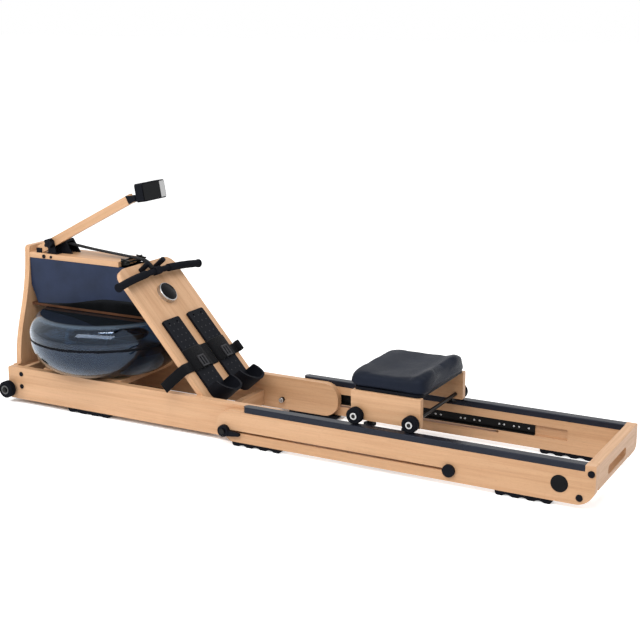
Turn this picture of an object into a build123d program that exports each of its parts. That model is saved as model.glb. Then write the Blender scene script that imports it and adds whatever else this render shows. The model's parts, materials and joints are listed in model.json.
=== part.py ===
"""Water-resistance rowing machine with a beech frame that slides together for storage.

Millimetres, +Z up, +X towards the rower's back, -Y is the left side.
Stations along the machine are measured from the front ends of the front rails.
"""
import os
from math import cos, radians, sin, tan

from build123d import *

# Overall stations and levels
RAIL_LENGTH = 2100.0
WHEEL_STATION = 12.0
WHEEL_RADIUS = 29.0
WHEEL_LEVEL = 50.0
WHEEL_BOLT = 3.95
WHEEL_FACES = (186.0, 212.0)
TREAD_GROOVE = 2.0
TREAD_EASE = 3.0
MID_STATION = (RAIL_LENGTH + WHEEL_STATION - WHEEL_RADIUS) / 2
FOOT_HEIGHT = 14.0
FOOT_SHELF = 0.6
FOOT_EASE = 10.0
FOOT_NOTCHES = (0.22, 0.5, 0.78)
NOTCH_RADIUS = 24.0
NOTCH_LEVEL = -19.0
BOARD_GAP = 0.5

# Front rails and the boards between them
FRONT_RAIL_END = 1120.0
FRONT_RAIL_TOP = 126.0
FRONT_RAIL_INNER = 152.0
FRONT_RAIL_OUTER = 176.5
FRONT_RAIL_NOSE = 52.0
FRONT_RAIL_TOE = 14.0
FRONT_RAIL_EASE = 6.0

# Rear rails, tracks and the sliding joint between the two frames
REAR_RAIL_START = 878.0
REAR_RAIL_INNER = FRONT_RAIL_OUTER + BOARD_GAP
REAR_RAIL_OUTER = 208.7
REAR_RAIL_TOP = 113.7
TRACK_START = 976.0
TRACK_END = 2069.0
TRACK_TOP = 132.4
TRACK_EASE = 2.0
TRACK_NOSE = 9.0
CLAMP_STATION = 910.0
CLAMP_LEVEL = 47.5
SLOT_END = 1671.0
BOLT_RADIUS = 3.55
SLOT_WIDTH = 7.6
GROOVE_BOTTOM = 53.0
GROOVE_TOP = 88.0
GROOVE_DEPTH = 11.0
GROOVE_END = 1896.0
CHANNEL_END = 1790.0
REAR_RAIL_NOSE = 54.0
REAR_RAIL_CHIN = (930.0, 52.0)
REAR_RAIL_HEEL = 57.0
REAR_RAIL_EASES = (12.0, 25.0, 4.0)

# Tank
TANK_STATION = 302.0
TANK_RADIUS = 264.0
TANK_BOTTOM = 131.0
TANK_SEAM = 243.0
TANK_TOP = 322.0
TANK_WALL = 5.0
WATER_LEVEL = 236.0
TANK_FLOOR = (190.0, 187.0)
TANK_SHOULDER = (224.0, 222.0)
LOWER_BULGE = ((243.0, 170.0), (238.0, 173.0))
UPPER_BULGE = ((254.0, 295.0), (249.0, 292.0))
SEAL_SIZE = (11.0, 8.0)
SEAL_INSET = 6.0
WATER_FLOOR = 186.5
WATER_BULGE = (237.0, 173.5)
WATER_GAP = 1.0

# Superstructure
HEAD_HALF_WIDTH = 60.0
PANEL_FACE = 2.0
PANEL_THICKNESS = 20.0
PANEL_BACK = PANEL_FACE + PANEL_THICKNESS
PANEL_FOOT = FRONT_RAIL_TOP + 2
PANEL_TOP = 532.0
PANEL_FOOT_HALF = 134.0
PANEL_BEND = (92.0, 330.0)
PANEL_CORNER = 14.0
DECK_BOTTOM = 492.0
DECK_TOP = 510.0
DECK_END = 404.0
DECK_EASE = 3.0
BRIDGE_LEVEL = 324.0
BRIDGE_THICKNESS = 8.0
COVER_THICKNESS = 4.0
COVER_CUT = (27.0, 63.0)
COVER_FACE = HEAD_HALF_WIDTH - 1

# Slanted footboard: a point on its surface, its slope and its reach along the slope
BOARD_STATION = 729.3
BOARD_LEVEL = 200.0
BOARD_SLOPE = 48.97
BOARD_LOW = -132.0
BOARD_HIGH = 402.0
BOARD_WIDTH = 2 * FRONT_RAIL_INNER
BOARD_THICKNESS = 18.0
BOARD_CORNER = 40.0
BOARD_EASE = 2.0
PLATE_LOW = -140.0
PLATE_HIGH = 182.0
PLATE_CENTRE = 70.0
PLATE_WIDTH = 90.0
PLATE_THICKNESS = 9.0
HEEL_RISE = 62.0
HEEL_LENGTH = 58.0
HEEL_WALL = 6.0
HEEL_BULGE = (4.0, -3.0)
HEEL_CORNER = 36.0
PLATE_CORNER = 8.0
PLATE_HOLE = 4.0
PLATE_HOLE_PLACE = (16.0, 22.0)
PLATE_GAP = 0.3

# Handle, strap and pegs
PEG_ALONG = 377.0
PEG_SPREAD = 42.0
PEG_RADIUS = 9.0
PEG_LENGTH = 46.0
PEG_EASE = 3.0
HANDLE_STATION = 517.0
HANDLE_LEVEL = 481.0
HANDLE_LENGTH = 456.0
HANDLE_RADIUS = 13.0
HANDLE_BOW = 20.0
PULLEY_STATION = 122.0
PULLEY_LEVEL = 532.0
PULLEY_RADIUS = 12.0
PULLEY_HALF_WIDTH = 16.0
STRAP_WIDTH = 28.0
STRAP_THICKNESS = 2.0
STRAP_CLEARANCE = 0.6

# Seat
SEAT_FRONT = 1335.0
SEAT_REAR = 1562.0
SEAT_PANEL_INNER = 152.0
SEAT_PANEL_OUTER = 171.0
SEAT_PANEL_BOTTOM = 142.0
SEAT_PANEL_TOP = 231.0
SEAT_AXLES = (1356.0, 1537.0)
ROLLER_RADIUS = 25.0
ROLLER_LEVEL = TRACK_TOP + ROLLER_RADIUS + 0.2
GUIDE_STATIONS = (1392.0, 1516.0)
GUIDE_RADIUS = 19.0
CUSHION_BASE = 240.0
CUSHION_TOP = 300.0
CUSHION_FRONT = 1329.0
CUSHION_REAR = 1575.0
CUSHION_WIDTH = 336.0

# Monitor arm and display
ARM_CENTRE = -40.0
ARM_WIDTH = 16.0
ARM_PIVOT = (112.0, 548.0)
ARM_DEPTH = 30.0
ARM_SLOPE = 27.3

SIDES = (("left", -1), ("right", 1))
RUNNING = 0.05

os.makedirs("parts", exist_ok=True)


def at(station):
    """X of a station measured from the front ends of the front rails."""
    return station - MID_STATION


def slab(side, inner, outer):
    """Plane and depth of an upright slab between two distances from the middle."""
    if side < 0:
        return Plane.XZ.offset(inner), outer - inner
    return Plane.XZ.offset(-outer), outer - inner


def cross_plane(station, level):
    """Plane for turned pieces on an axle across the machine: x is Y, y is the radius."""
    return Plane(origin=(at(station), 0, level), x_dir=(0, 1, 0), z_dir=(1, 0, 0))


def cross_axis(station, level):
    return Axis((at(station), 0, level), (0, 1, 0))


def upright_plane(station, y=0.0):
    """Plane for turned pieces on an upright axle: x is the radius, y is the level."""
    return Plane(origin=(at(station), y, 0), x_dir=(1, 0, 0), z_dir=(0, -1, 0))


def upright_axis(station, y=0.0):
    return Axis((at(station), y, 0), (0, 0, 1))


def slope_plane(height=0.0):
    """Plane on the footboard: x runs up the slope, y towards the left, z out of the board."""
    angle = radians(BOARD_SLOPE)
    normal = Vector(sin(angle), 0, cos(angle))
    origin = Vector(at(BOARD_STATION), 0, BOARD_LEVEL) + normal * height
    return Plane(origin=origin, x_dir=(-cos(angle), 0, sin(angle)), z_dir=normal)


def board_back(level):
    """Station of the footboard's back face at a level."""
    angle = radians(BOARD_SLOPE)
    return BOARD_STATION - (level - BOARD_LEVEL) / tan(angle) - BOARD_THICKNESS / sin(angle)


def save(builder, name):
    """Label a finished piece and write its file."""
    builder.part.label = name
    export_step(builder.part, f"parts/{name}.step")


def near(builder, x, y):
    """The corner of a sketch nearest to a point."""
    return builder.vertices().sort_by_distance((x, y, 0))[0]


# Front frame: rails, cross boards and tank board
with BuildPart() as front_rails:
    end = at(FRONT_RAIL_END)
    for _, side in SIDES:
        plane, depth = slab(side, FRONT_RAIL_INNER, FRONT_RAIL_OUTER)
        with BuildSketch(plane) as outline:
            with BuildLine():
                Polyline(
                    (at(0), FOOT_HEIGHT),
                    (end, FOOT_HEIGHT),
                    (end, FRONT_RAIL_TOP),
                    (at(0), FRONT_RAIL_TOP),
                    close=True,
                )
            make_face()
            fillet(near(outline, end, FRONT_RAIL_TOP), radius=FRONT_RAIL_NOSE)
            fillet(near(outline, end, FOOT_HEIGHT), radius=FRONT_RAIL_NOSE)
            fillet(near(outline, at(0), FRONT_RAIL_TOP), radius=FRONT_RAIL_EASE)
            fillet(near(outline, at(0), FOOT_HEIGHT), radius=FRONT_RAIL_TOE)
            with Locations((at(CLAMP_STATION), CLAMP_LEVEL)):
                Circle(BOLT_RADIUS, mode=Mode.SUBTRACT)
            with Locations((at(WHEEL_STATION), WHEEL_LEVEL)):
                Circle(WHEEL_BOLT, mode=Mode.SUBTRACT)
        extrude(amount=depth)
save(front_rails, "front_rails")

# Cross boards: station, bottom and top
CROSS_BOARDS = ((PANEL_FACE + PANEL_THICKNESS / 2, 62, PANEL_FOOT), (58, 18, FRONT_RAIL_TOP), (826, 19, 70))
CROSS_BOARD_THICKNESS = 20.0
with BuildPart() as cross_boards:
    for station, bottom, top in CROSS_BOARDS:
        with BuildSketch(Plane.XY.offset(bottom)):
            with Locations((at(station), 0)):
                Rectangle(CROSS_BOARD_THICKNESS, 2 * FRONT_RAIL_INNER)
        extrude(amount=top - bottom)
save(cross_boards, "cross_boards")

TANK_BOARD_LENGTH = 330.0
TANK_BOARD_THICKNESS = 20.0
TANK_BOARD_HOLE = 16.0
with BuildPart() as tank_board:
    with BuildSketch(Plane.XY.offset(TANK_BOTTOM - TANK_BOARD_THICKNESS)):
        with Locations((at(TANK_STATION), 0)):
            Rectangle(TANK_BOARD_LENGTH, 2 * FRONT_RAIL_INNER)
            Circle(TANK_BOARD_HOLE, mode=Mode.SUBTRACT)
    extrude(amount=TANK_BOARD_THICKNESS)
save(tank_board, "tank_board")

# Guide bars of the slide: they stand out of the front rails into the rear rails' channels
SLIDE_BAR_STATION = 1000.0
SLIDE_BAR_SIZE = (210.0, 22.0)
SLIDE_BAR_DEPTH = 7.0
with BuildPart() as slide_bars:
    for _, side in SIDES:
        plane, depth = slab(side, FRONT_RAIL_OUTER, FRONT_RAIL_OUTER + SLIDE_BAR_DEPTH)
        with BuildSketch(plane):
            with Locations((at(SLIDE_BAR_STATION), (GROOVE_BOTTOM + GROOVE_TOP) / 2)):
                SlotOverall(*SLIDE_BAR_SIZE)
        extrude(amount=depth)
save(slide_bars, "slide_bars")

# Front panel: a flat board whose sides draw in from the rails to the deck in an S
with BuildPart() as front_panel:
    foot_corner = (PANEL_FOOT_HALF, PANEL_FOOT)
    top_corner = (HEAD_HALF_WIDTH, PANEL_TOP)
    with BuildSketch(Plane.YZ.offset(at(PANEL_FACE))) as outline:
        with BuildLine() as right_side:
            Spline(foot_corner, PANEL_BEND, top_corner, tangents=((0, 1), (0, 1)))
            Line(top_corner, (0, PANEL_TOP))
            Line((0, PANEL_TOP), (0, PANEL_FOOT))
            Line((0, PANEL_FOOT), foot_corner)
        make_face()
        mirror(about=Plane.YZ)
        for side in (-1, 1):
            fillet(near(outline, side * HEAD_HALF_WIDTH, PANEL_TOP), radius=PANEL_CORNER)
    extrude(amount=PANEL_THICKNESS)
save(front_panel, "front_panel")

STRAP_HOLE = (36.0, 34.0)
with BuildPart() as top_deck:
    with BuildSketch(Plane.XY.offset(DECK_BOTTOM)):
        with Locations((at((PANEL_BACK + DECK_END) / 2), 0)):
            Rectangle(DECK_END - PANEL_BACK, 2 * HEAD_HALF_WIDTH)
        with Locations((at(PULLEY_STATION), 0)):
            Rectangle(*STRAP_HOLE, mode=Mode.SUBTRACT)
    extrude(amount=DECK_TOP - DECK_BOTTOM)
    fillet(top_deck.edges().filter_by(Axis.X).group_by(Axis.Z)[-1], radius=DECK_EASE)
save(top_deck, "top_deck")

BEARING_RADIUS = 14.0
BRIDGE_TOP = BRIDGE_LEVEL + BRIDGE_THICKNESS
with BuildPart() as tank_bridge:
    with BuildSketch(Plane.XZ):
        with BuildLine():
            Polyline(
                (at(PANEL_BACK), BRIDGE_LEVEL),
                (at(board_back(BRIDGE_LEVEL)), BRIDGE_LEVEL),
                (at(board_back(BRIDGE_TOP)), BRIDGE_TOP),
                (at(PANEL_BACK), BRIDGE_TOP),
                close=True,
            )
        make_face()
    extrude(amount=HEAD_HALF_WIDTH, both=True)
    with BuildSketch(Plane.XY.offset(BRIDGE_LEVEL)):
        with Locations((at(TANK_STATION), 0)):
            Circle(BEARING_RADIUS)
    extrude(amount=BRIDGE_THICKNESS, mode=Mode.SUBTRACT)
save(tank_bridge, "tank_bridge")

with BuildPart() as side_covers:
    for _, side in SIDES:
        plane, depth = slab(side, COVER_FACE - COVER_THICKNESS, COVER_FACE)
        with BuildSketch(plane):
            with BuildLine():
                Polyline(
                    (at(PANEL_BACK), DECK_BOTTOM),
                    (at(board_back(DECK_BOTTOM)), DECK_BOTTOM),
                    (at(board_back(BRIDGE_TOP)), BRIDGE_TOP),
                    (at(PANEL_BACK + COVER_CUT[0]), BRIDGE_TOP),
                    (at(PANEL_BACK), BRIDGE_TOP + COVER_CUT[1]),
                    close=True,
                )
            make_face()
        extrude(amount=depth)
save(side_covers, "side_covers")

# Footboard with rounded top corners, its badge and the handle pegs
with BuildPart() as footboard:
    board_middle = (BOARD_LOW + BOARD_HIGH) / 2
    with BuildSketch(slope_plane(-BOARD_THICKNESS)) as outline:
        with Locations((board_middle, 0)):
            Rectangle(BOARD_HIGH - BOARD_LOW, BOARD_WIDTH)
        for edge in (-1, 1):
            fillet(near(outline, BOARD_HIGH, edge * BOARD_WIDTH / 2), radius=BOARD_CORNER)
    extrude(amount=BOARD_THICKNESS)
    fillet(footboard.faces().sort_by(Axis.X)[-1].edges().filter_by(Axis.Y, reverse=True), radius=BOARD_EASE)
save(footboard, "footboard")

BADGE_ALONG = 272.0
BADGE_RADIUS = 36.0
BADGE_HEIGHT = 16.0
BADGE_RIM = 7.0
BADGE_SINK = 2.0
BADGE_EASE = 3.0
with BuildPart() as footboard_badge:
    with BuildSketch(slope_plane()):
        with Locations((BADGE_ALONG, 0)):
            Circle(BADGE_RADIUS)
    extrude(amount=BADGE_HEIGHT)
    fillet(footboard_badge.faces().sort_by(Axis.Z)[-1].edges(), radius=BADGE_EASE)
    with BuildSketch(slope_plane(BADGE_HEIGHT)):
        with Locations((BADGE_ALONG, 0)):
            Circle(BADGE_RADIUS - BADGE_RIM)
    extrude(amount=-BADGE_SINK, mode=Mode.SUBTRACT)
save(footboard_badge, "footboard_badge")

with BuildPart() as handle_pegs:
    with BuildSketch(slope_plane()):
        with Locations((PEG_ALONG, PEG_SPREAD), (PEG_ALONG, -PEG_SPREAD)):
            Circle(PEG_RADIUS)
    extrude(amount=PEG_LENGTH)
    fillet(handle_pegs.faces().sort_by(Axis.Z)[-2:].edges(), radius=PEG_EASE)
save(handle_pegs, "handle_pegs")

# Water tank: two clear shells, the band between them and the water.
# Of each pair of sizes the first is the shell's outside and the second its inside.
lower_rim = TANK_SEAM - SEAL_SIZE[1] / 2
upper_rim = TANK_SEAM + SEAL_SIZE[1] / 2
tank_floor = TANK_BOTTOM + TANK_WALL
tank_ceiling = TANK_TOP - TANK_WALL
tank_inside = TANK_RADIUS - TANK_WALL
with BuildPart() as tank_lower:
    with BuildSketch(upright_plane(TANK_STATION)):
        with BuildLine():
            Line((0, TANK_BOTTOM), (TANK_FLOOR[0], TANK_BOTTOM))
            ThreePointArc((TANK_FLOOR[0], TANK_BOTTOM), LOWER_BULGE[0], (TANK_RADIUS, lower_rim))
            Line((TANK_RADIUS, lower_rim), (tank_inside, lower_rim))
            ThreePointArc((tank_inside, lower_rim), LOWER_BULGE[1], (TANK_FLOOR[1], tank_floor))
            Line((TANK_FLOOR[1], tank_floor), (0, tank_floor))
            Line((0, tank_floor), (0, TANK_BOTTOM))
        make_face()
    revolve(axis=upright_axis(TANK_STATION), revolution_arc=360)
save(tank_lower, "tank_lower")

with BuildPart() as tank_seal:
    with BuildSketch(upright_plane(TANK_STATION)):
        with Locations((TANK_RADIUS - SEAL_INSET, TANK_SEAM)):
            Rectangle(*SEAL_SIZE)
    revolve(axis=upright_axis(TANK_STATION), revolution_arc=360)
save(tank_seal, "tank_seal")

SHAFT_BORE = 13.0
with BuildPart() as tank_upper:
    with BuildSketch(upright_plane(TANK_STATION)):
        with BuildLine():
            Line((tank_inside, upper_rim), (TANK_RADIUS, upper_rim))
            ThreePointArc((TANK_RADIUS, upper_rim), UPPER_BULGE[0], (TANK_SHOULDER[0], TANK_TOP))
            Line((TANK_SHOULDER[0], TANK_TOP), (SHAFT_BORE, TANK_TOP))
            Line((SHAFT_BORE, TANK_TOP), (SHAFT_BORE, tank_ceiling))
            Line((SHAFT_BORE, tank_ceiling), (TANK_SHOULDER[1], tank_ceiling))
            ThreePointArc((TANK_SHOULDER[1], tank_ceiling), UPPER_BULGE[1], (tank_inside, upper_rim))
        make_face()
    revolve(axis=upright_axis(TANK_STATION), revolution_arc=360)
save(tank_upper, "tank_upper")

PADDLE_RADIUS = 132.0
PADDLE_LOW = 150.0
PADDLE_HIGH = 222.0
PADDLE_COUNT = 6
PADDLE_THICKNESS = 5.0
water_core = PADDLE_RADIUS + 6
water_rim = tank_inside - WATER_GAP
with BuildPart() as tank_water:
    with BuildSketch(upright_plane(TANK_STATION)):
        with BuildLine():
            Line((water_core, tank_floor), (WATER_FLOOR, tank_floor))
            ThreePointArc((WATER_FLOOR, tank_floor), WATER_BULGE, (water_rim, WATER_LEVEL))
            Line((water_rim, WATER_LEVEL), (water_core, WATER_LEVEL))
            Line((water_core, WATER_LEVEL), (water_core, tank_floor))
        make_face()
    revolve(axis=upright_axis(TANK_STATION), revolution_arc=360)
save(tank_water, "tank_water")

# Impeller: an upright shaft with paddles, in a step bearing and a bridge bearing
SHAFT_RADIUS = 8.0
SHAFT_TOP = 470.0
HUB_RADIUS = 20.0
STEP_BEARING = (12.0, 17.0)
shaft_foot = tank_floor + 3
with BuildPart() as impeller:
    with BuildSketch(Plane.XY.offset(shaft_foot)):
        with Locations((at(TANK_STATION), 0)):
            Circle(SHAFT_RADIUS)
    extrude(amount=SHAFT_TOP - shaft_foot)
    with BuildSketch(Plane.XY.offset(PADDLE_LOW)):
        with Locations((at(TANK_STATION), 0)):
            Circle(HUB_RADIUS)
            with PolarLocations(0, PADDLE_COUNT):
                with Locations((PADDLE_RADIUS / 2, 0)):
                    Rectangle(PADDLE_RADIUS, PADDLE_THICKNESS)
    extrude(amount=PADDLE_HIGH - PADDLE_LOW)
save(impeller, "impeller")

with BuildPart() as shaft_bearings:
    for bottom, top, outer in (
        (tank_floor, tank_floor + STEP_BEARING[0], STEP_BEARING[1]),
        (BRIDGE_LEVEL, BRIDGE_TOP, BEARING_RADIUS),
    ):
        with BuildSketch(Plane.XY.offset(bottom)):
            with Locations((at(TANK_STATION), 0)):
                Circle(outer)
                Circle(SHAFT_RADIUS + RUNNING, mode=Mode.SUBTRACT)
        extrude(amount=top - bottom)
save(shaft_bearings, "shaft_bearings")

# Strap spool on the shaft: the wound strap fills the space between its flanges
SPOOL_LOW = 405.0
SPOOL_HIGH = 446.0
SPOOL_RADIUS = 42.0
FLANGE_RADIUS = 48.0
FLANGE_THICKNESS = 5.0
with BuildPart() as strap_spool:
    with BuildSketch(upright_plane(TANK_STATION)):
        with BuildLine():
            Polyline(
                (SHAFT_RADIUS + RUNNING, SPOOL_LOW),
                (FLANGE_RADIUS, SPOOL_LOW),
                (FLANGE_RADIUS, SPOOL_LOW + FLANGE_THICKNESS),
                (SPOOL_RADIUS, SPOOL_LOW + FLANGE_THICKNESS),
                (SPOOL_RADIUS, SPOOL_HIGH - FLANGE_THICKNESS),
                (FLANGE_RADIUS, SPOOL_HIGH - FLANGE_THICKNESS),
                (FLANGE_RADIUS, SPOOL_HIGH),
                (SHAFT_RADIUS + RUNNING, SPOOL_HIGH),
                close=True,
            )
        make_face()
    revolve(axis=upright_axis(TANK_STATION), revolution_arc=360)
save(strap_spool, "strap_spool")

# Strap housing on the deck, with a pulley inside that turns the strap down to the spool
PIN_RADIUS = 3.0
HOUSING_TOP = 557.0
HOUSING_HALF_WIDTH = 24.0
HOUSING_HOLLOW = 18.0
HOUSING_BASE = (76.0, 180.0)
HOUSING_CROWN = (96.0, 150.0)
HOUSING_WALL = 7.0
HOUSING_EASE = 5.0
with BuildPart() as strap_housing:
    with BuildSketch(Plane.XZ) as outline:
        with BuildLine():
            Polyline(
                (at(HOUSING_BASE[0]), DECK_TOP),
                (at(HOUSING_BASE[1]), DECK_TOP),
                (at(HOUSING_CROWN[1]), HOUSING_TOP),
                (at(HOUSING_CROWN[0]), HOUSING_TOP),
                close=True,
            )
        make_face()
        for station in HOUSING_CROWN:
            fillet(near(outline, at(station), HOUSING_TOP), radius=HOUSING_EASE)
    extrude(amount=HOUSING_HALF_WIDTH, both=True)
    with BuildSketch(Plane.XZ):
        with BuildLine():
            Polyline(
                (at(HOUSING_CROWN[0] + HOUSING_WALL), DECK_TOP),
                (at(HOUSING_BASE[1] + HOUSING_WALL), DECK_TOP),
                (at(HOUSING_BASE[1] + HOUSING_WALL), HOUSING_TOP - HOUSING_WALL),
                (at(HOUSING_CROWN[0] + HOUSING_WALL), HOUSING_TOP - HOUSING_WALL),
                close=True,
            )
        make_face()
    extrude(amount=HOUSING_HOLLOW, both=True, mode=Mode.SUBTRACT)
    with BuildSketch(Plane.XZ):
        with Locations((at(PULLEY_STATION), PULLEY_LEVEL)):
            Circle(PIN_RADIUS)
    extrude(amount=HOUSING_HALF_WIDTH, both=True)
save(strap_housing, "strap_housing")

with BuildPart() as strap_pulley:
    with BuildSketch(Plane.XZ):
        with Locations((at(PULLEY_STATION), PULLEY_LEVEL)):
            Circle(PULLEY_RADIUS)
            Circle(PIN_RADIUS + RUNNING, mode=Mode.SUBTRACT)
    extrude(amount=PULLEY_HALF_WIDTH, both=True)
save(strap_pulley, "strap_pulley")

# Two guide rods behind the deck, held by cheeks
ROD_RADIUS = 3.0
ROD_PLACES = ((415.0, 514.0), (431.0, 508.0))
ROD_HALF_LENGTH = 57.0
CHEEK_INNER = 40.0
CHEEK_OUTER = 44.0
CHEEK_REACH = 34.0
CHEEK_RISE = 9.0
with BuildPart() as strap_guides:
    for _, side in SIDES:
        plane, depth = slab(side, CHEEK_INNER, CHEEK_OUTER)
        with BuildSketch(plane) as outline:
            with BuildLine():
                Polyline(
                    (at(DECK_END), DECK_BOTTOM),
                    (at(DECK_END + CHEEK_REACH), DECK_BOTTOM + CHEEK_RISE),
                    (at(DECK_END + CHEEK_REACH), DECK_TOP + CHEEK_RISE / 3),
                    (at(DECK_END), DECK_TOP + CHEEK_RISE),
                    close=True,
                )
            make_face()
        extrude(amount=depth)
    with BuildSketch(Plane.XZ):
        with Locations([(at(x), z) for x, z in ROD_PLACES]):
            Circle(ROD_RADIUS)
    extrude(amount=ROD_HALF_LENGTH, both=True)
save(strap_guides, "strap_guides")

# Strap: the stretch over the deck and the free stretch that the handle draws out
strap_exit = (at(PULLEY_STATION + 2), PULLEY_LEVEL + PULLEY_RADIUS + STRAP_CLEARANCE)
rod_top = (at(ROD_PLACES[0][0]), ROD_PLACES[0][1] + ROD_RADIUS + STRAP_CLEARANCE)
strap_end = (at(HANDLE_STATION - HANDLE_RADIUS - 2), HANDLE_LEVEL + 3)
with BuildPart() as deck_strap:
    with BuildSketch(Plane.XZ):
        with BuildLine():
            Polyline(
                strap_exit,
                rod_top,
                (rod_top[0], rod_top[1] + STRAP_THICKNESS),
                (strap_exit[0], strap_exit[1] + STRAP_THICKNESS),
                close=True,
            )
        make_face()
    extrude(amount=STRAP_WIDTH / 2, both=True)
save(deck_strap, "deck_strap")

BEND_PLACE = (474.0, 507.0)
rod_edge = (at(BEND_PLACE[0]), BEND_PLACE[1])
with BuildPart() as handle_strap:
    with BuildSketch(Plane.XZ):
        with BuildLine():
            Polyline(
                rod_top,
                rod_edge,
                strap_end,
                (strap_end[0] + 1.5, strap_end[1] + STRAP_THICKNESS),
                (rod_edge[0] + 1.0, rod_edge[1] + STRAP_THICKNESS),
                (rod_top[0], rod_top[1] + STRAP_THICKNESS),
                close=True,
            )
        make_face()
    extrude(amount=STRAP_WIDTH / 2, both=True)
save(handle_strap, "handle_strap")

# Handle: a bowed bar with a grip on each half, end caps and a strap clip
half = HANDLE_LENGTH / 2
bow_plane = Plane((at(HANDLE_STATION), 0, HANDLE_LEVEL), x_dir=(0, 1, 0), z_dir=(-1, 0, -1))
GRIP_START = 62.0
BAR_RADIUS = HANDLE_RADIUS - 3
CAP_LENGTH = 6.0
CAP_RADIUS = HANDLE_RADIUS + 1.5
CLIP_RADIUS = HANDLE_RADIUS + 1
CLIP_HALF_WIDTH = STRAP_WIDTH / 2 + 2


def bow(y):
    """How far the bar's axis leans away from the strap at a distance from the middle."""
    return HANDLE_BOW * (y / half) ** 2


def bar_piece(start, stop, radius):
    """Sweep a stretch of the bowed bar between two distances along it, in the open part."""
    middle = (start + stop) / 2
    with BuildLine(bow_plane) as path:
        ThreePointArc((start, bow(start)), (middle, bow(middle)), (stop, bow(stop)))
    with BuildSketch(path.line ^ 0) as section:
        Circle(radius)
    sweep(sections=section.sketch, path=path.line)


with BuildPart() as handle_bar:
    bar_piece(-half, half, BAR_RADIUS)
    for _, side in SIDES:
        bar_piece(side * (half - CAP_LENGTH), side * half, CAP_RADIUS)
    with BuildSketch(Plane.XZ):
        with Locations((at(HANDLE_STATION), HANDLE_LEVEL)):
            Circle(CLIP_RADIUS)
    extrude(amount=CLIP_HALF_WIDTH, both=True)
save(handle_bar, "handle_bar")

with BuildPart() as handle_grips:
    for _, side in SIDES:
        bar_piece(side * GRIP_START, side * (half - CAP_LENGTH - 1), HANDLE_RADIUS)
    add(handle_bar.part, mode=Mode.SUBTRACT)
save(handle_grips, "handle_grips")

# Foot rests: a plate with a heel cup, a webbing strap and its buckle on each side.
# The cups are trimmed to a slanted rim, given as stations and levels.
HEEL_TRIM = ((700, 400), (760, 196), (880, 143), (960, 143), (960, 400))
TRIM_HALF_WIDTH = 200.0
heel_end = PLATE_LOW + HEEL_LENGTH
for name, side in SIDES:
    middle = -side * PLATE_CENTRE
    inset = PLATE_WIDTH / 2
    with BuildPart() as foot_plate:
        with BuildSketch(slope_plane(PLATE_GAP)) as outline:
            with Locations(((PLATE_LOW + PLATE_HIGH) / 2, middle)):
                Rectangle(PLATE_HIGH - PLATE_LOW, PLATE_WIDTH)
            for edge in (-1, 1):
                fillet(near(outline, PLATE_LOW, middle + edge * inset), radius=HEEL_CORNER)
                fillet(near(outline, PLATE_HIGH, middle + edge * inset), radius=PLATE_CORNER)
            hole_along = PLATE_HIGH - PLATE_HOLE_PLACE[0]
            with Locations([(hole_along, middle + edge * PLATE_HOLE_PLACE[1]) for edge in (-1, 1)]):
                Circle(PLATE_HOLE, mode=Mode.SUBTRACT)
        extrude(amount=PLATE_THICKNESS)
        with BuildSketch(slope_plane(PLATE_GAP)):
            with BuildLine():
                ThreePointArc(
                    (heel_end, middle - inset),
                    (PLATE_LOW - HEEL_BULGE[0], middle),
                    (heel_end, middle + inset),
                )
                Line((heel_end, middle + inset), (heel_end, middle + inset - HEEL_WALL))
                ThreePointArc(
                    (heel_end, middle + inset - HEEL_WALL),
                    (PLATE_LOW - HEEL_BULGE[1], middle),
                    (heel_end, middle - inset + HEEL_WALL),
                )
                Line((heel_end, middle - inset + HEEL_WALL), (heel_end, middle - inset))
            make_face()
        extrude(amount=PLATE_THICKNESS + HEEL_RISE)
        with BuildSketch(Plane.XZ):
            with BuildLine():
                Polyline(*[(at(station), level) for station, level in HEEL_TRIM], close=True)
            make_face()
        extrude(amount=TRIM_HALF_WIDTH, both=True, mode=Mode.SUBTRACT)
    save(foot_plate, f"foot_plate_{name}")

# Foot straps: a band over each foot with its buckle, and a flat stretch to the board's edge.
# The left strap ends in a free tail, and the right one in a rolled end.
STRAP_ALONG = 24.0
STRAP_RISE = 10.0
BAND_WIDTH = 80.0
BAND_THICKNESS = 2.4
FLAT_ALONG = 6.0
FLAT_WIDTH = 36.0
FLAT_GAP = 0.6
FLAT_OVERHANG = 3.0
TAIL_RUN = (-30.0, -78.0, -48.0)
ROLL_RADIUS = 13.0
ROLL_TURN = 270.0
BUCKLE_SIZE = (42.0, 34.0)
BUCKLE_CORNER = 5.0
BUCKLE_HEIGHT = 6.0
# The left band goes on over the board to the other plate, between these places from the middle
GAP_REACH = (24.0, -22.0)
band_top = slope_plane(PLATE_THICKNESS + PLATE_GAP)
flat_start = PLATE_CENTRE + PLATE_WIDTH / 2
flat_end = BOARD_WIDTH / 2 + FLAT_OVERHANG


def strap_section(base, along, y, width):
    """Plane across a strap: x towards the left, y out of the board, from a strap's lower edge."""
    corner = base.from_local_coords((along - width / 2, y, 0))
    return Plane(corner, x_dir=base.y_dir, z_dir=base.x_dir)


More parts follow.
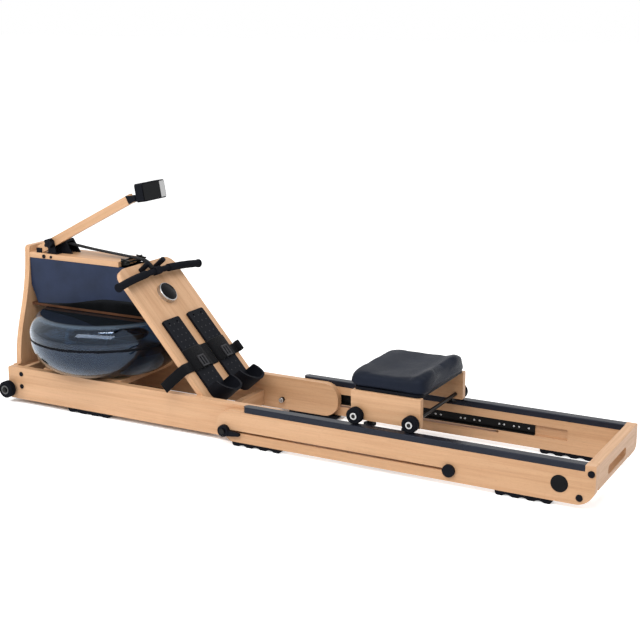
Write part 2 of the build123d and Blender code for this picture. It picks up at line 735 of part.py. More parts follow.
for name, side in SIDES:
    middle = -side * PLATE_CENTRE
    reach = PLATE_WIDTH / 2 - 1
    with BuildPart() as foot_strap:
        with BuildSketch(strap_section(band_top, STRAP_ALONG, middle, BAND_WIDTH)):
            with BuildLine():
                ThreePointArc((-reach, 0), (0, STRAP_RISE), (reach, 0))
                Line((reach, 0), (reach - BAND_THICKNESS, 0))
                ThreePointArc(
                    (reach - BAND_THICKNESS, 0),
                    (0, STRAP_RISE - BAND_THICKNESS),
                    (BAND_THICKNESS - reach, 0),
                )
                Line((BAND_THICKNESS - reach, 0), (-reach, 0))
            make_face()
        extrude(amount=BAND_WIDTH)
        with BuildSketch(slope_plane(PLATE_THICKNESS + STRAP_RISE - 1)):
            with Locations((FLAT_ALONG, middle)):
                RectangleRounded(*BUCKLE_SIZE, BUCKLE_CORNER)
        extrude(amount=BUCKLE_HEIGHT)
        with BuildSketch(slope_plane(FLAT_GAP)):
            with Locations((FLAT_ALONG, -side * (flat_start + flat_end) / 2)):
                Rectangle(FLAT_WIDTH, flat_end - flat_start)
        extrude(amount=BAND_THICKNESS)
        if side < 0:
            with BuildSketch(slope_plane(FLAT_GAP)):
                with Locations((STRAP_ALONG, sum(GAP_REACH) / 2)):
                    Rectangle(BAND_WIDTH, GAP_REACH[0] - GAP_REACH[1])
            extrude(amount=BAND_THICKNESS)
            tail_start = slope_plane(FLAT_GAP).from_local_coords((FLAT_ALONG, flat_end - 1, 0))
            run = Vector(*TAIL_RUN)
            with BuildSketch(Plane(tail_start, x_dir=band_top.x_dir.cross(run), z_dir=run)):
                Rectangle(BAND_THICKNESS, FLAT_WIDTH)
            extrude(amount=run.length)
        else:
            inner_radius = ROLL_RADIUS - BAND_THICKNESS
            with BuildSketch(strap_section(slope_plane(FLAT_GAP), FLAT_ALONG, 1 - flat_end, FLAT_WIDTH)):
                with BuildLine():
                    outside = CenterArc((0, ROLL_RADIUS), ROLL_RADIUS, -90, -ROLL_TURN)
                    inside = CenterArc((0, ROLL_RADIUS), inner_radius, -90, -ROLL_TURN)
                    Line(outside @ 0, inside @ 0)
                    Line(outside @ 1, inside @ 1)
                make_face()
            extrude(amount=FLAT_WIDTH)
    save(foot_strap, f"foot_strap_{name}")

# Rear frame: rails with the clamp slot and the slide groove, tracks and end board
groove_start = REAR_RAIL_START - 10
groove_middle = ((groove_start + GROOVE_END) / 2, (GROOVE_BOTTOM + GROOVE_TOP) / 2)
with BuildPart() as rear_rails:
    for _, side in SIDES:
        plane, depth = slab(side, REAR_RAIL_INNER, REAR_RAIL_OUTER)
        with BuildSketch(plane) as outline:
            with BuildLine():
                Polyline(
                    (at(REAR_RAIL_START), REAR_RAIL_TOP),
                    (at(REAR_RAIL_START), REAR_RAIL_CHIN[1]),
                    (at(REAR_RAIL_CHIN[0]), FOOT_HEIGHT),
                    (at(RAIL_LENGTH), FOOT_HEIGHT),
                    (at(RAIL_LENGTH), TRACK_TOP),
                    (at(TRACK_END), TRACK_TOP),
                    (at(TRACK_END), REAR_RAIL_TOP),
                    close=True,
                )
            make_face()
            fillet(near(outline, at(REAR_RAIL_START), REAR_RAIL_TOP), radius=REAR_RAIL_NOSE)
            fillet(near(outline, at(REAR_RAIL_START), REAR_RAIL_CHIN[1]), radius=REAR_RAIL_EASES[0])
            fillet(near(outline, at(REAR_RAIL_CHIN[0]), FOOT_HEIGHT), radius=REAR_RAIL_EASES[1])
            fillet(near(outline, at(RAIL_LENGTH), FOOT_HEIGHT), radius=REAR_RAIL_HEEL)
            fillet(near(outline, at(RAIL_LENGTH), TRACK_TOP), radius=REAR_RAIL_EASES[2])
            with Locations((at((CLAMP_STATION + SLOT_END) / 2), CLAMP_LEVEL)):
                SlotCenterToCenter(SLOT_END - CLAMP_STATION, SLOT_WIDTH, mode=Mode.SUBTRACT)
        extrude(amount=depth)
        plane, depth = slab(side, REAR_RAIL_INNER, REAR_RAIL_INNER + GROOVE_DEPTH)
        with BuildSketch(plane):
            with Locations((at(groove_middle[0]), groove_middle[1])):
                Rectangle(GROOVE_END - groove_start, GROOVE_TOP - GROOVE_BOTTOM)
        extrude(amount=depth, mode=Mode.SUBTRACT)
save(rear_rails, "rear_rails")

with BuildPart() as tracks:
    for _, side in SIDES:
        plane, depth = slab(side, REAR_RAIL_INNER, REAR_RAIL_OUTER)
        with BuildSketch(plane):
            with Locations((at((TRACK_START + TRACK_END) / 2), (REAR_RAIL_TOP + TRACK_TOP) / 2)):
                Rectangle(TRACK_END - TRACK_START, TRACK_TOP - REAR_RAIL_TOP)
        extrude(amount=depth)
    chamfer(tracks.edges().filter_by(Axis.Z).group_by(Axis.X)[0], length=TRACK_NOSE)
    chamfer(tracks.edges().filter_by(Axis.X).group_by(Axis.Z)[-1], length=TRACK_EASE)
save(tracks, "tracks")

# Channels of the slide: a plate in each groove with a lip along its top and bottom
CHANNEL_START = CLAMP_STATION - 20
CHANNEL_LIP = 4.0
CHANNEL_DEPTH = 8.0
channel_height = GROOVE_TOP - GROOVE_BOTTOM - 1
channel_length = CHANNEL_END - CHANNEL_START
channel_middle = at((CHANNEL_START + CHANNEL_END) / 2)
with BuildPart() as slide_channels:
    for _, side in SIDES:
        plane, depth = slab(side, REAR_RAIL_INNER + CHANNEL_DEPTH, REAR_RAIL_INNER + GROOVE_DEPTH)
        with BuildSketch(plane):
            with Locations((channel_middle, groove_middle[1])):
                Rectangle(channel_length, channel_height)
        extrude(amount=depth)
        plane, depth = slab(side, REAR_RAIL_INNER, REAR_RAIL_INNER + CHANNEL_DEPTH)
        with BuildSketch(plane):
            for lip in (-1, 1):
                lip_level = groove_middle[1] + lip * (channel_height - CHANNEL_LIP) / 2
                with Locations((channel_middle, lip_level)):
                    Rectangle(channel_length, CHANNEL_LIP)
        extrude(amount=depth)
save(slide_channels, "slide_channels")

END_BOARD_BOTTOM = 55.0
END_BOARD_EASE = 3.0
HAND_SLOT_LEVEL = 83.5
HAND_SLOT_SIZE = (182.0, 27.0)
with BuildPart() as end_board:
    board_thickness = RAIL_LENGTH - TRACK_END
    with BuildSketch(Plane.YZ.offset(at(TRACK_END))):
        with Locations((0, (END_BOARD_BOTTOM + TRACK_TOP) / 2)):
            Rectangle(2 * REAR_RAIL_INNER, TRACK_TOP - END_BOARD_BOTTOM)
        with Locations((0, HAND_SLOT_LEVEL)):
            SlotOverall(*HAND_SLOT_SIZE, mode=Mode.SUBTRACT)
    extrude(amount=board_thickness)
    fillet(end_board.edges().filter_by(Axis.Y).group_by(Axis.Z)[-1], radius=END_BOARD_EASE)
save(end_board, "end_board")


def side_discs(label, *discs):
    """Round caps on both sides of the machine: station, level, radius and where they stand."""
    with BuildPart() as caps:
        for _, disc_side in SIDES:
            for station, level, radius, inner, outer in discs:
                disc_plane, disc_depth = slab(disc_side, inner, outer)
                with BuildSketch(disc_plane):
                    with Locations((at(station), level)):
                        Circle(radius)
                extrude(amount=disc_depth)
    save(caps, label)


side_discs(
    "rear_caps",
    (2087, 109, 10, REAR_RAIL_OUTER, REAR_RAIL_OUTER + 2),
    (2056, 35, 10, REAR_RAIL_OUTER, REAR_RAIL_OUTER + 2),
    (SLOT_END, CLAMP_LEVEL, 19, REAR_RAIL_OUTER, REAR_RAIL_OUTER + 9),
)
side_discs("side_badges", (1998, 67, 25, REAR_RAIL_OUTER, REAR_RAIL_OUTER + 1.5))
side_discs(
    "front_caps",
    (58, 104, 8, FRONT_RAIL_OUTER, FRONT_RAIL_OUTER + 2),
    (58, 60, 8, FRONT_RAIL_OUTER, FRONT_RAIL_OUTER + 2),
    (86, DECK_BOTTOM + 8, 7, HEAD_HALF_WIDTH, HEAD_HALF_WIDTH + 2),
    (117, DECK_BOTTOM + 8, 5, HEAD_HALF_WIDTH, HEAD_HALF_WIDTH + 2),
)


def feet(builder_label, *rows):
    """Black feet under both rails, with a scalloped underside."""
    with BuildPart() as pads:
        for _, foot_side in SIDES:
            for first, last, inner, outer in rows:
                foot_plane, foot_depth = slab(foot_side, inner, outer)
                notches = [(at(first + (last - first) * share), NOTCH_LEVEL) for share in FOOT_NOTCHES]
                with BuildSketch(foot_plane) as outline:
                    with Locations((at((first + last) / 2), FOOT_HEIGHT / 2)):
                        Rectangle(last - first, FOOT_HEIGHT)
                    for end in (first, last):
                        fillet(near(outline, at(end), 0), radius=FOOT_EASE)
                    with Locations(notches):
                        Circle(NOTCH_RADIUS, mode=Mode.SUBTRACT)
                extrude(amount=foot_depth)
                if outer > REAR_RAIL_INNER > inner:
                    shelf_plane, shelf_depth = slab(foot_side, FRONT_RAIL_OUTER, outer)
                    with BuildSketch(shelf_plane):
                        with Locations((at((first + last) / 2), FOOT_HEIGHT)):
                            Rectangle(last - first, 2 * FOOT_SHELF)
                    extrude(amount=shelf_depth, mode=Mode.SUBTRACT)
    save(pads, builder_label)


feet(
    "front_feet",
    (257, 429, FRONT_RAIL_INNER + 1, FRONT_RAIL_OUTER - 1),
    (934, 1109, FRONT_RAIL_INNER + 1, REAR_RAIL_OUTER - 3),
)
feet("rear_feet", (1810, 1978, REAR_RAIL_INNER + 1, REAR_RAIL_OUTER - 2))

# Clamp and wheel bolts through the rails, with a nut or a head at each end:
# form, distances from the machine's middle and radius of each piece
CLAMP_PIECES = (("disc", 140, 228, BOLT_RADIUS), ("disc", 223.6, 229, 9), ("nut", 144, 152, 9))
WHEEL_PIECES = (("disc", 144, 216, WHEEL_BOLT), ("disc", 212.5, 217, 8), ("nut", 144, 152, 8))
BOLT_ROWS = ((CLAMP_STATION, CLAMP_LEVEL, CLAMP_PIECES), (WHEEL_STATION, WHEEL_LEVEL, WHEEL_PIECES))
with BuildPart() as frame_bolts:
    for _, side in SIDES:
        for station, level, pieces in BOLT_ROWS:
            for form, inner, outer, radius in pieces:
                plane, depth = slab(side, inner, outer)
                with BuildSketch(plane):
                    with Locations((at(station), level)):
                        if form == "nut":
                            RegularPolygon(radius, 6)
                        else:
                            Circle(radius)
                extrude(amount=depth)
save(frame_bolts, "frame_bolts")

# Clamp levers: a hub on the bolt with a lever that points to the rear
LEVER_REACH = 58.0
LEVER_ROOT = (6.0, -17.0)
LEVER_TIP = (-1.0, -10.0)
LEVER_HUB = 19.0
HUB_FACES = (REAR_RAIL_OUTER + 0.4, REAR_RAIL_OUTER + 14.4)
LEVER_INSET = 2.0
for name, side in SIDES:
    hub_plane, hub_depth = slab(side, *HUB_FACES)
    arm_plane, arm_depth = slab(side, HUB_FACES[0] + LEVER_INSET, HUB_FACES[1] - LEVER_INSET)
    with BuildPart() as clamp_lever:
        with BuildSketch(arm_plane) as outline:
            with BuildLine():
                Polyline(
                    (at(CLAMP_STATION), CLAMP_LEVEL + LEVER_ROOT[0]),
                    (at(CLAMP_STATION + LEVER_REACH), CLAMP_LEVEL + LEVER_TIP[0]),
                    (at(CLAMP_STATION + LEVER_REACH), CLAMP_LEVEL + LEVER_TIP[1]),
                    (at(CLAMP_STATION), CLAMP_LEVEL + LEVER_ROOT[1]),
                    close=True,
                )
            make_face()
        extrude(amount=arm_depth)
        with BuildSketch(hub_plane):
            with Locations((at(CLAMP_STATION), CLAMP_LEVEL)):
                Circle(LEVER_HUB)
        extrude(amount=hub_depth)
        with BuildSketch(hub_plane):
            with Locations((at(CLAMP_STATION), CLAMP_LEVEL)):
                Circle(BOLT_RADIUS + RUNNING)
        extrude(amount=hub_depth, mode=Mode.SUBTRACT)
    save(clamp_lever, f"clamp_lever_{name}")


def roller(wheel_side, station, level, radius, bore, inner, outer):
    """Turn a grooved roller on a cross axle, in the open part."""
    width = outer - inner
    rim = [
        (inner, bore),
        (inner, radius - TREAD_EASE),
        (inner + TREAD_EASE, radius),
        (inner + width * 0.42, radius),
        (inner + width * 0.46, radius - TREAD_GROOVE),
        (inner + width * 0.54, radius - TREAD_GROOVE),
        (inner + width * 0.58, radius),
        (outer - TREAD_EASE, radius),
        (outer, radius - TREAD_EASE),
        (outer, radius * 0.62),
        (outer - TREAD_GROOVE, radius * 0.58),
        (outer - TREAD_GROOVE, radius * 0.5),
        (outer, radius * 0.46),
        (outer, bore),
    ]
    with BuildSketch(cross_plane(station, level)) as profile:
        with BuildLine():
            Polyline(*[(wheel_side * y, r) for y, r in rim], close=True)
        make_face()
    revolve(profile.sketch, axis=cross_axis(station, level), revolution_arc=360)


# Transport wheels outside the front ends of the front rails
for name, side in SIDES:
    with BuildPart() as transport_wheel:
        roller(side, WHEEL_STATION, WHEEL_LEVEL, WHEEL_RADIUS, WHEEL_BOLT + RUNNING, *WHEEL_FACES)
    save(transport_wheel, f"transport_wheel_{name}")

# Seat: side panels, base plate, cushion, axles, rollers and guide rollers
AXLE_RADIUS = 6.0
AXLE_HALF_LENGTH = 199.0
ROLLER_FACES = (173.5, 197.5)
SEAT_PANEL_CORNER = 3.0
SEAT_BASE_SIZE = (222.0, 326.0)
SEAT_BASE_CORNER = 20.0
with BuildPart() as seat_panels:
    panel_middle = (at((SEAT_FRONT + SEAT_REAR) / 2), (SEAT_PANEL_BOTTOM + SEAT_PANEL_TOP) / 2)
    panel_size = (SEAT_REAR - SEAT_FRONT, SEAT_PANEL_TOP - SEAT_PANEL_BOTTOM)
    for _, side in SIDES:
        plane, depth = slab(side, SEAT_PANEL_INNER, SEAT_PANEL_OUTER)
        with BuildSketch(plane):
            with Locations(panel_middle):
                RectangleRounded(*panel_size, SEAT_PANEL_CORNER)
            with Locations([(at(x), ROLLER_LEVEL) for x in SEAT_AXLES]):
                Circle(AXLE_RADIUS, mode=Mode.SUBTRACT)
        extrude(amount=depth)
save(seat_panels, "seat_panels")

seat_middle = at((SEAT_FRONT + SEAT_REAR) / 2)
with BuildPart() as seat_base:
    with BuildSketch(Plane.XY.offset(SEAT_PANEL_TOP)):
        with Locations((seat_middle, 0)):
            RectangleRounded(*SEAT_BASE_SIZE, SEAT_BASE_CORNER)
    extrude(amount=CUSHION_BASE - SEAT_PANEL_TOP)
save(seat_base, "seat_base")

cushion_middle = at((CUSHION_FRONT + CUSHION_REAR) / 2)
cushion_length = CUSHION_REAR - CUSHION_FRONT
# Outlines of the cushion: rise above its base, how far they draw in and corner radius
CUSHION_RINGS = ((0, 8, 30), (14, 0, 34), (40, 6, 38), (CUSHION_TOP - CUSHION_BASE, 34, 40))
DISH_STATION = 1420.0
DISH_RADIUS = 350.0
DISH_DEPTH = 28.0
with BuildPart() as seat_cushion:
    for rise, draw_in, corner in CUSHION_RINGS:
        with BuildSketch(Plane.XY.offset(CUSHION_BASE + rise)):
            with Locations((cushion_middle, 0)):
                RectangleRounded(cushion_length - draw_in, CUSHION_WIDTH - draw_in, corner)
    loft()
    with BuildSketch(Plane.XZ):
        with Locations((at(DISH_STATION), CUSHION_TOP - DISH_DEPTH + DISH_RADIUS)):
            Circle(DISH_RADIUS)
    extrude(amount=CUSHION_WIDTH, both=True, mode=Mode.SUBTRACT)
save(seat_cushion, "seat_cushion")

for name, station in zip(("front", "rear"), SEAT_AXLES):
    with BuildPart() as seat_rollers:
        for _, side in SIDES:
            roller(side, station, ROLLER_LEVEL, ROLLER_RADIUS, AXLE_RADIUS + RUNNING, *ROLLER_FACES)
    save(seat_rollers, f"seat_rollers_{name}")

GUIDE_LOW = 126.6
GUIDE_HIGH = 132.2
GUIDE_OFFSET = REAR_RAIL_INNER - GUIDE_RADIUS - 0.35
GUIDE_BOLT = 4.0
GUIDE_COLLAR = 8.0
collar_start = GUIDE_HIGH + 0.4
guide_places = [(at(x), side * GUIDE_OFFSET) for x in GUIDE_STATIONS for side in (-1, 1)]
with BuildPart() as seat_axles:
    with BuildSketch(Plane.XZ):
        with Locations([(at(x), ROLLER_LEVEL) for x in SEAT_AXLES]):
            Circle(AXLE_RADIUS)
    extrude(amount=AXLE_HALF_LENGTH, both=True)
    for bottom, top, radius in (
        (GUIDE_LOW, collar_start, GUIDE_BOLT),
        (collar_start, SEAT_PANEL_BOTTOM, GUIDE_COLLAR),
    ):
        with BuildSketch(Plane.XY.offset(bottom)):
            with Locations(guide_places):
                Circle(radius)
        extrude(amount=top - bottom)
save(seat_axles, "seat_axles")

for end, station in zip(("front", "rear"), GUIDE_STATIONS):
    for name, side in SIDES:
        with BuildPart() as guide_roller:
            with BuildSketch(Plane.XY.offset(GUIDE_LOW)):
                with Locations((at(station), side * GUIDE_OFFSET)):
                    Circle(GUIDE_RADIUS)
                    Circle(GUIDE_BOLT + RUNNING, mode=Mode.SUBTRACT)
            extrude(amount=GUIDE_HIGH - GUIDE_LOW)
        save(guide_roller, f"guide_roller_{end}_{name}")

# Monitor arm: a slanted bar in a fork on the deck, its tail in a cradle
arm_angle = radians(ARM_SLOPE)
along = (cos(arm_angle), sin(arm_angle))
across = (-sin(arm_angle), cos(arm_angle))


def arm_point(distance, offset):
    """A point beside the arm's axis, measured from its pivot."""
    x = ARM_PIVOT[0] + along[0] * distance + across[0] * offset
    z = ARM_PIVOT[1] + along[1] * distance + across[1] * offset
    return at(x), z


def arm_slab(inner, outer):
    """Plane and depth of a slab beside the arm, by distance left of the arm's middle."""
    return Plane.XZ.offset(-ARM_CENTRE + inner), outer - inner


ARM_REACH = 388.0
ARM_BACK = -66.0
ARM_BACK_CUT = (18.0, -4.0)
ARM_BACK_EASE = 8.0
PIVOT_RADIUS = 5.0
half_arm = ARM_WIDTH / 2
with BuildPart() as monitor_arm:
    plane, depth = arm_slab(-half_arm, half_arm)
    with BuildSketch(plane) as outline:
        with BuildLine():
            Polyline(
                arm_point(ARM_BACK, ARM_BACK_CUT[1]),
                arm_point(ARM_BACK + ARM_BACK_CUT[0], -ARM_DEPTH / 2),
                arm_point(ARM_REACH, -ARM_DEPTH / 2),
                arm_point(ARM_REACH, ARM_DEPTH / 2),
                arm_point(ARM_BACK, ARM_DEPTH / 2),
                close=True,
            )
        make_face()
        fillet(near(outline, *arm_point(ARM_BACK, ARM_DEPTH / 2)), radius=ARM_BACK_EASE)
        with Locations(arm_point(0, 0)):
            Circle(PIVOT_RADIUS + RUNNING, mode=Mode.SUBTRACT)
    extrude(amount=depth)
save(monitor_arm, "monitor_arm")

CHEEK_GAP = 0.5
CHEEK_THICKNESS = 3.5
BRACKET_PLATE = (46.0, 26.0)
BRACKET_STATIONS = (98.0, 134.0)
BRACKET_CROWN = (101.0, 124.0)
BRACKET_RISE = 13.0
BRACKET_EASE = 10.0
PIVOT_REACH = 16.0
CRADLE_STATION = 58.0
CRADLE_PLATE = (22.0, 26.0)
CRADLE_HEIGHT = 16.0
PLATE_DEPTH = 3.0
cheek_outside = half_arm + CHEEK_GAP + CHEEK_THICKNESS
with BuildPart() as arm_bracket:
    with BuildSketch(Plane.XY.offset(DECK_TOP)):
        with Locations((at(sum(BRACKET_STATIONS) / 2), ARM_CENTRE)):
            Rectangle(*BRACKET_PLATE)
    extrude(amount=PLATE_DEPTH)
    bracket_top = ARM_PIVOT[1] + BRACKET_RISE
    for sign in (-1, 1):
        inner = sign * (half_arm + CHEEK_GAP)
        outer = sign * cheek_outside
        plane, depth = arm_slab(min(inner, outer), max(inner, outer))
        with BuildSketch(plane) as outline:
            with BuildLine():
                Polyline(
                    (at(BRACKET_STATIONS[0]), DECK_TOP),
                    (at(BRACKET_STATIONS[1]), DECK_TOP),
                    (at(BRACKET_CROWN[1]), bracket_top),
                    (at(BRACKET_CROWN[0]), bracket_top),
                    close=True,
                )
            make_face()
            for station in BRACKET_CROWN:
                fillet(near(outline, at(station), bracket_top), radius=BRACKET_EASE)
        extrude(amount=depth)
        with BuildSketch(plane):
            with Locations((at(CRADLE_STATION), DECK_TOP + CRADLE_HEIGHT / 2)):
                Rectangle(CRADLE_PLATE[0], CRADLE_HEIGHT)
        extrude(amount=depth)
    plane, depth = arm_slab(-cheek_outside, cheek_outside + PIVOT_REACH)
    with BuildSketch(plane):
        with Locations(arm_point(0, 0)):
            Circle(PIVOT_RADIUS)
    extrude(amount=depth)
save(arm_bracket, "arm_bracket")

KNOB_START = cheek_outside + 0.4
KNOB_DEPTH = 15.0
KNOB_RADIUS = 13.0
KNOB_LOBES = (12.0, 5, 6.0)
with BuildPart() as arm_knob:
    plane, depth = arm_slab(KNOB_START, KNOB_START + KNOB_DEPTH)
    with BuildSketch(plane):
        with Locations(arm_point(0, 0)):
            Circle(KNOB_RADIUS)
            with PolarLocations(KNOB_LOBES[0], KNOB_LOBES[1]):
                Circle(KNOB_LOBES[2])
            Circle(PIVOT_RADIUS + RUNNING, mode=Mode.SUBTRACT)
    extrude(amount=depth)
save(arm_knob, "arm_knob")

# Tilt joint at the arm's head and the display
TILT_ALONG = ARM_REACH + 14
TILT_DROP = -6.0
TILT_PLACE = arm_point(TILT_ALONG, TILT_DROP)
TILT_RADIUS = 4.0
HEAD_OVERLAP = 14.0
HEAD_NOSE = 8.0
HEAD_RISE = 4.0
HEAD_WALL = 5.0
with BuildPart() as arm_head:
    for sign in (-1, 1):
        inner = sign * half_arm
        outer = sign * (half_arm + HEAD_WALL)
        plane, depth = arm_slab(min(inner, outer), max(inner, outer))
        with BuildSketch(plane):
            with BuildLine():
                Polyline(
                    arm_point(ARM_REACH - HEAD_OVERLAP, -ARM_DEPTH / 2),
                    arm_point(TILT_ALONG, -ARM_DEPTH / 2),
                    arm_point(TILT_ALONG + HEAD_NOSE, TILT_DROP),
                    arm_point(TILT_ALONG, HEAD_RISE),
                    arm_point(ARM_REACH - HEAD_OVERLAP, ARM_DEPTH / 2),
                    close=True,
                )
            make_face()
        extrude(amount=depth)
    plane, depth = arm_slab(-half_arm - HEAD_WALL, half_arm + HEAD_WALL)
    with BuildSketch(plane):
        with Locations(TILT_PLACE):
            Circle(TILT_RADIUS)
    extrude(amount=depth)
save(arm_head, "arm_head")

DISPLAY_WIDTH = 125.0
DISPLAY_HEIGHT = 61.0
DISPLAY_MIDDLE = -7.5
DISPLAY_REACH = 36.0
DISPLAY_LIFT = 22.6
DISPLAY_TILT = 10.0
STRIP_WIDTH = 30.0
DISPLAY_DEPTH = 30.0
DISPLAY_FACE = 14.0
DISPLAY_CORNER = 8.0
DISPLAY_MARGIN = 8.0
GLASS_THICKNESS = 2.0
LUG_GAP = 0.5
# Corners of the lug that hangs the case on the tilt pin, from that pin
LUG_CORNERS = ((-6, -8), (26, -8), (26, 10), (-2, 9))


def display_plane(depth):
    """Plane across the display: x is Y, y is up its face, z is out of its face."""
    angle = radians(DISPLAY_TILT)
    normal = Vector(cos(angle), 0, sin(angle))
    middle = Vector(TILT_PLACE[0] + DISPLAY_REACH, DISPLAY_MIDDLE, TILT_PLACE[1] + DISPLAY_LIFT)
    return Plane(middle + normal * depth, x_dir=(0, 1, 0), z_dir=normal)


with BuildPart() as display_case:
    with BuildSketch(display_plane(DISPLAY_FACE - DISPLAY_DEPTH)):
        RectangleRounded(DISPLAY_WIDTH, DISPLAY_HEIGHT, DISPLAY_CORNER)
    extrude(amount=DISPLAY_DEPTH)
    plane, depth = arm_slab(LUG_GAP - half_arm, half_arm - LUG_GAP)
    with BuildSketch(plane):
        with BuildLine():
            Polyline(*[(TILT_PLACE[0] + x, TILT_PLACE[1] + z) for x, z in LUG_CORNERS], close=True)
        make_face()
    extrude(amount=depth)
    with BuildSketch(plane):
        with Locations(TILT_PLACE):
            Circle(TILT_RADIUS + RUNNING)
    extrude(amount=depth, mode=Mode.SUBTRACT)
save(display_case, "display_case")

with BuildPart() as display_glass:
    with BuildSketch(display_plane(DISPLAY_FACE)):
        with Locations((-STRIP_WIDTH / 2, 0)):
            Rectangle(DISPLAY_WIDTH - STRIP_WIDTH - 6, DISPLAY_HEIGHT - DISPLAY_MARGIN)
    extrude(amount=GLASS_THICKNESS)
save(display_glass, "display_glass")

with BuildPart() as display_strip:
    with BuildSketch(display_plane(DISPLAY_FACE)):
        with Locations((DISPLAY_WIDTH / 2 - STRIP_WIDTH / 2 - 2, 0)):
            Rectangle(STRIP_WIDTH - 4, DISPLAY_HEIGHT - DISPLAY_MARGIN)
    extrude(amount=GLASS_THICKNESS)
save(display_strip, "display_strip")
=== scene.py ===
"""Looks of a wooden water rower: finishes for its boards and fittings, and its soft pieces."""
import json
import math

import bmesh
import bpy
from bpy.props import FloatProperty, FloatVectorProperty, IntProperty, PointerProperty
from bpy.types import Operator, Panel, PropertyGroup
from mathutils import Matrix, Vector


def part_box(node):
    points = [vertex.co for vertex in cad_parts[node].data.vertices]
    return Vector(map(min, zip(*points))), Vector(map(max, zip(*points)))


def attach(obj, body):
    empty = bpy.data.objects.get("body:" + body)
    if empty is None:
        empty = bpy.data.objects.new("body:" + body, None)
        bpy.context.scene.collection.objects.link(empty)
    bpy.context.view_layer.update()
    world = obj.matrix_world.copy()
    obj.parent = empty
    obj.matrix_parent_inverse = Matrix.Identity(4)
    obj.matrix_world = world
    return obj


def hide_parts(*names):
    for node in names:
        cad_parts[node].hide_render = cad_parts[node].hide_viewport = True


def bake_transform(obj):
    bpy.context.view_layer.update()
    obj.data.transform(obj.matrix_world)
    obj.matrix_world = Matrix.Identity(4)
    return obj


bl_info = {
    "name": "Water rower looks",
    "version": (1, 0, 0),
    "blender": (4, 5, 0),
    "location": "View3D > Sidebar > Rower",
    "description": "Dresses the packed rowing machine with wood, water, vinyl and webbing",
    "category": "Object",
}

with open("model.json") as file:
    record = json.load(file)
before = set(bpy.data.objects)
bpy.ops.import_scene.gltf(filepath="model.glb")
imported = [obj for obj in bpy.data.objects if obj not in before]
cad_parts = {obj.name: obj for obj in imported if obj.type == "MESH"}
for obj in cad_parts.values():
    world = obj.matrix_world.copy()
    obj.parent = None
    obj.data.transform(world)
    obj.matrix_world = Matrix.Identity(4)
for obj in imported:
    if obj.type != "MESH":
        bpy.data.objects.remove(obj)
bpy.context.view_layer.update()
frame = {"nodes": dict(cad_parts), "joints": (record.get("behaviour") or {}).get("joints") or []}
NODES = frame["nodes"]
SIDES = (("left", -1), ("right", 1))
ENDS = ("front", "rear")
QUARTER_TURN = math.pi / 2
ARM_SLOPE = math.radians(27.3)
# How deep small pieces sink into the face that they stand on
SUNK = 0.0004
# Cool tint of the reflections on plastic, rubber, vinyl and the tank
COOL = (0.72, 0.82, 1.0, 1.0)
# Filling of the cushion: mesh size, pressure and smoothing passes
SWELL_MESH = 0.005
SWELL_PRESSURE = 4
SWELL_RELAX = 5
# Points of a CAD mesh closer than this become one before its edges are rounded
WELD_DISTANCE = 0.00002
# Edges that turn more than this are rounded
SHARP_ANGLE = math.radians(38)

# The slanted footboard: its slope, its thickness and where its top edge lies along the slope
BOARD_SLOPE = math.radians(48.97)
BOARD_THICKNESS = 0.018
BOARD_REACH = 0.402
SIDEWAYS = Vector((0, 1, 0))
UPRIGHT = Vector((0, 0, 1))
UP_SLOPE = Vector((-math.cos(BOARD_SLOPE), 0, math.sin(BOARD_SLOPE)))
OUT = Vector((math.sin(BOARD_SLOPE), 0, math.cos(BOARD_SLOPE)))


def joint_place(name):
    """Where a joint's axis stands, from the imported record."""
    found = next(joint for joint in frame["joints"] if joint["name"] == name)
    return Vector(found["pos_m"])


def on_board(along, across, height):
    """A point on the footboard: up its slope, towards the right and out of its face."""
    low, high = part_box("footboard")
    top = Vector((low.x + BOARD_THICKNESS * math.sin(BOARD_SLOPE), 0, high.z))
    return top + UP_SLOPE * (along - BOARD_REACH) + SIDEWAYS * across + OUT * height


def plate_middle(side):
    """Where the middle line of a foot plate lies across the machine."""
    low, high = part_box(f"foot_plate_{side}")
    return (low.y + high.y) / 2


def outer_face(node, sign):
    """How far out a node reaches on one side of the machine."""
    low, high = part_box(node)
    return low.y if sign < 0 else high.y


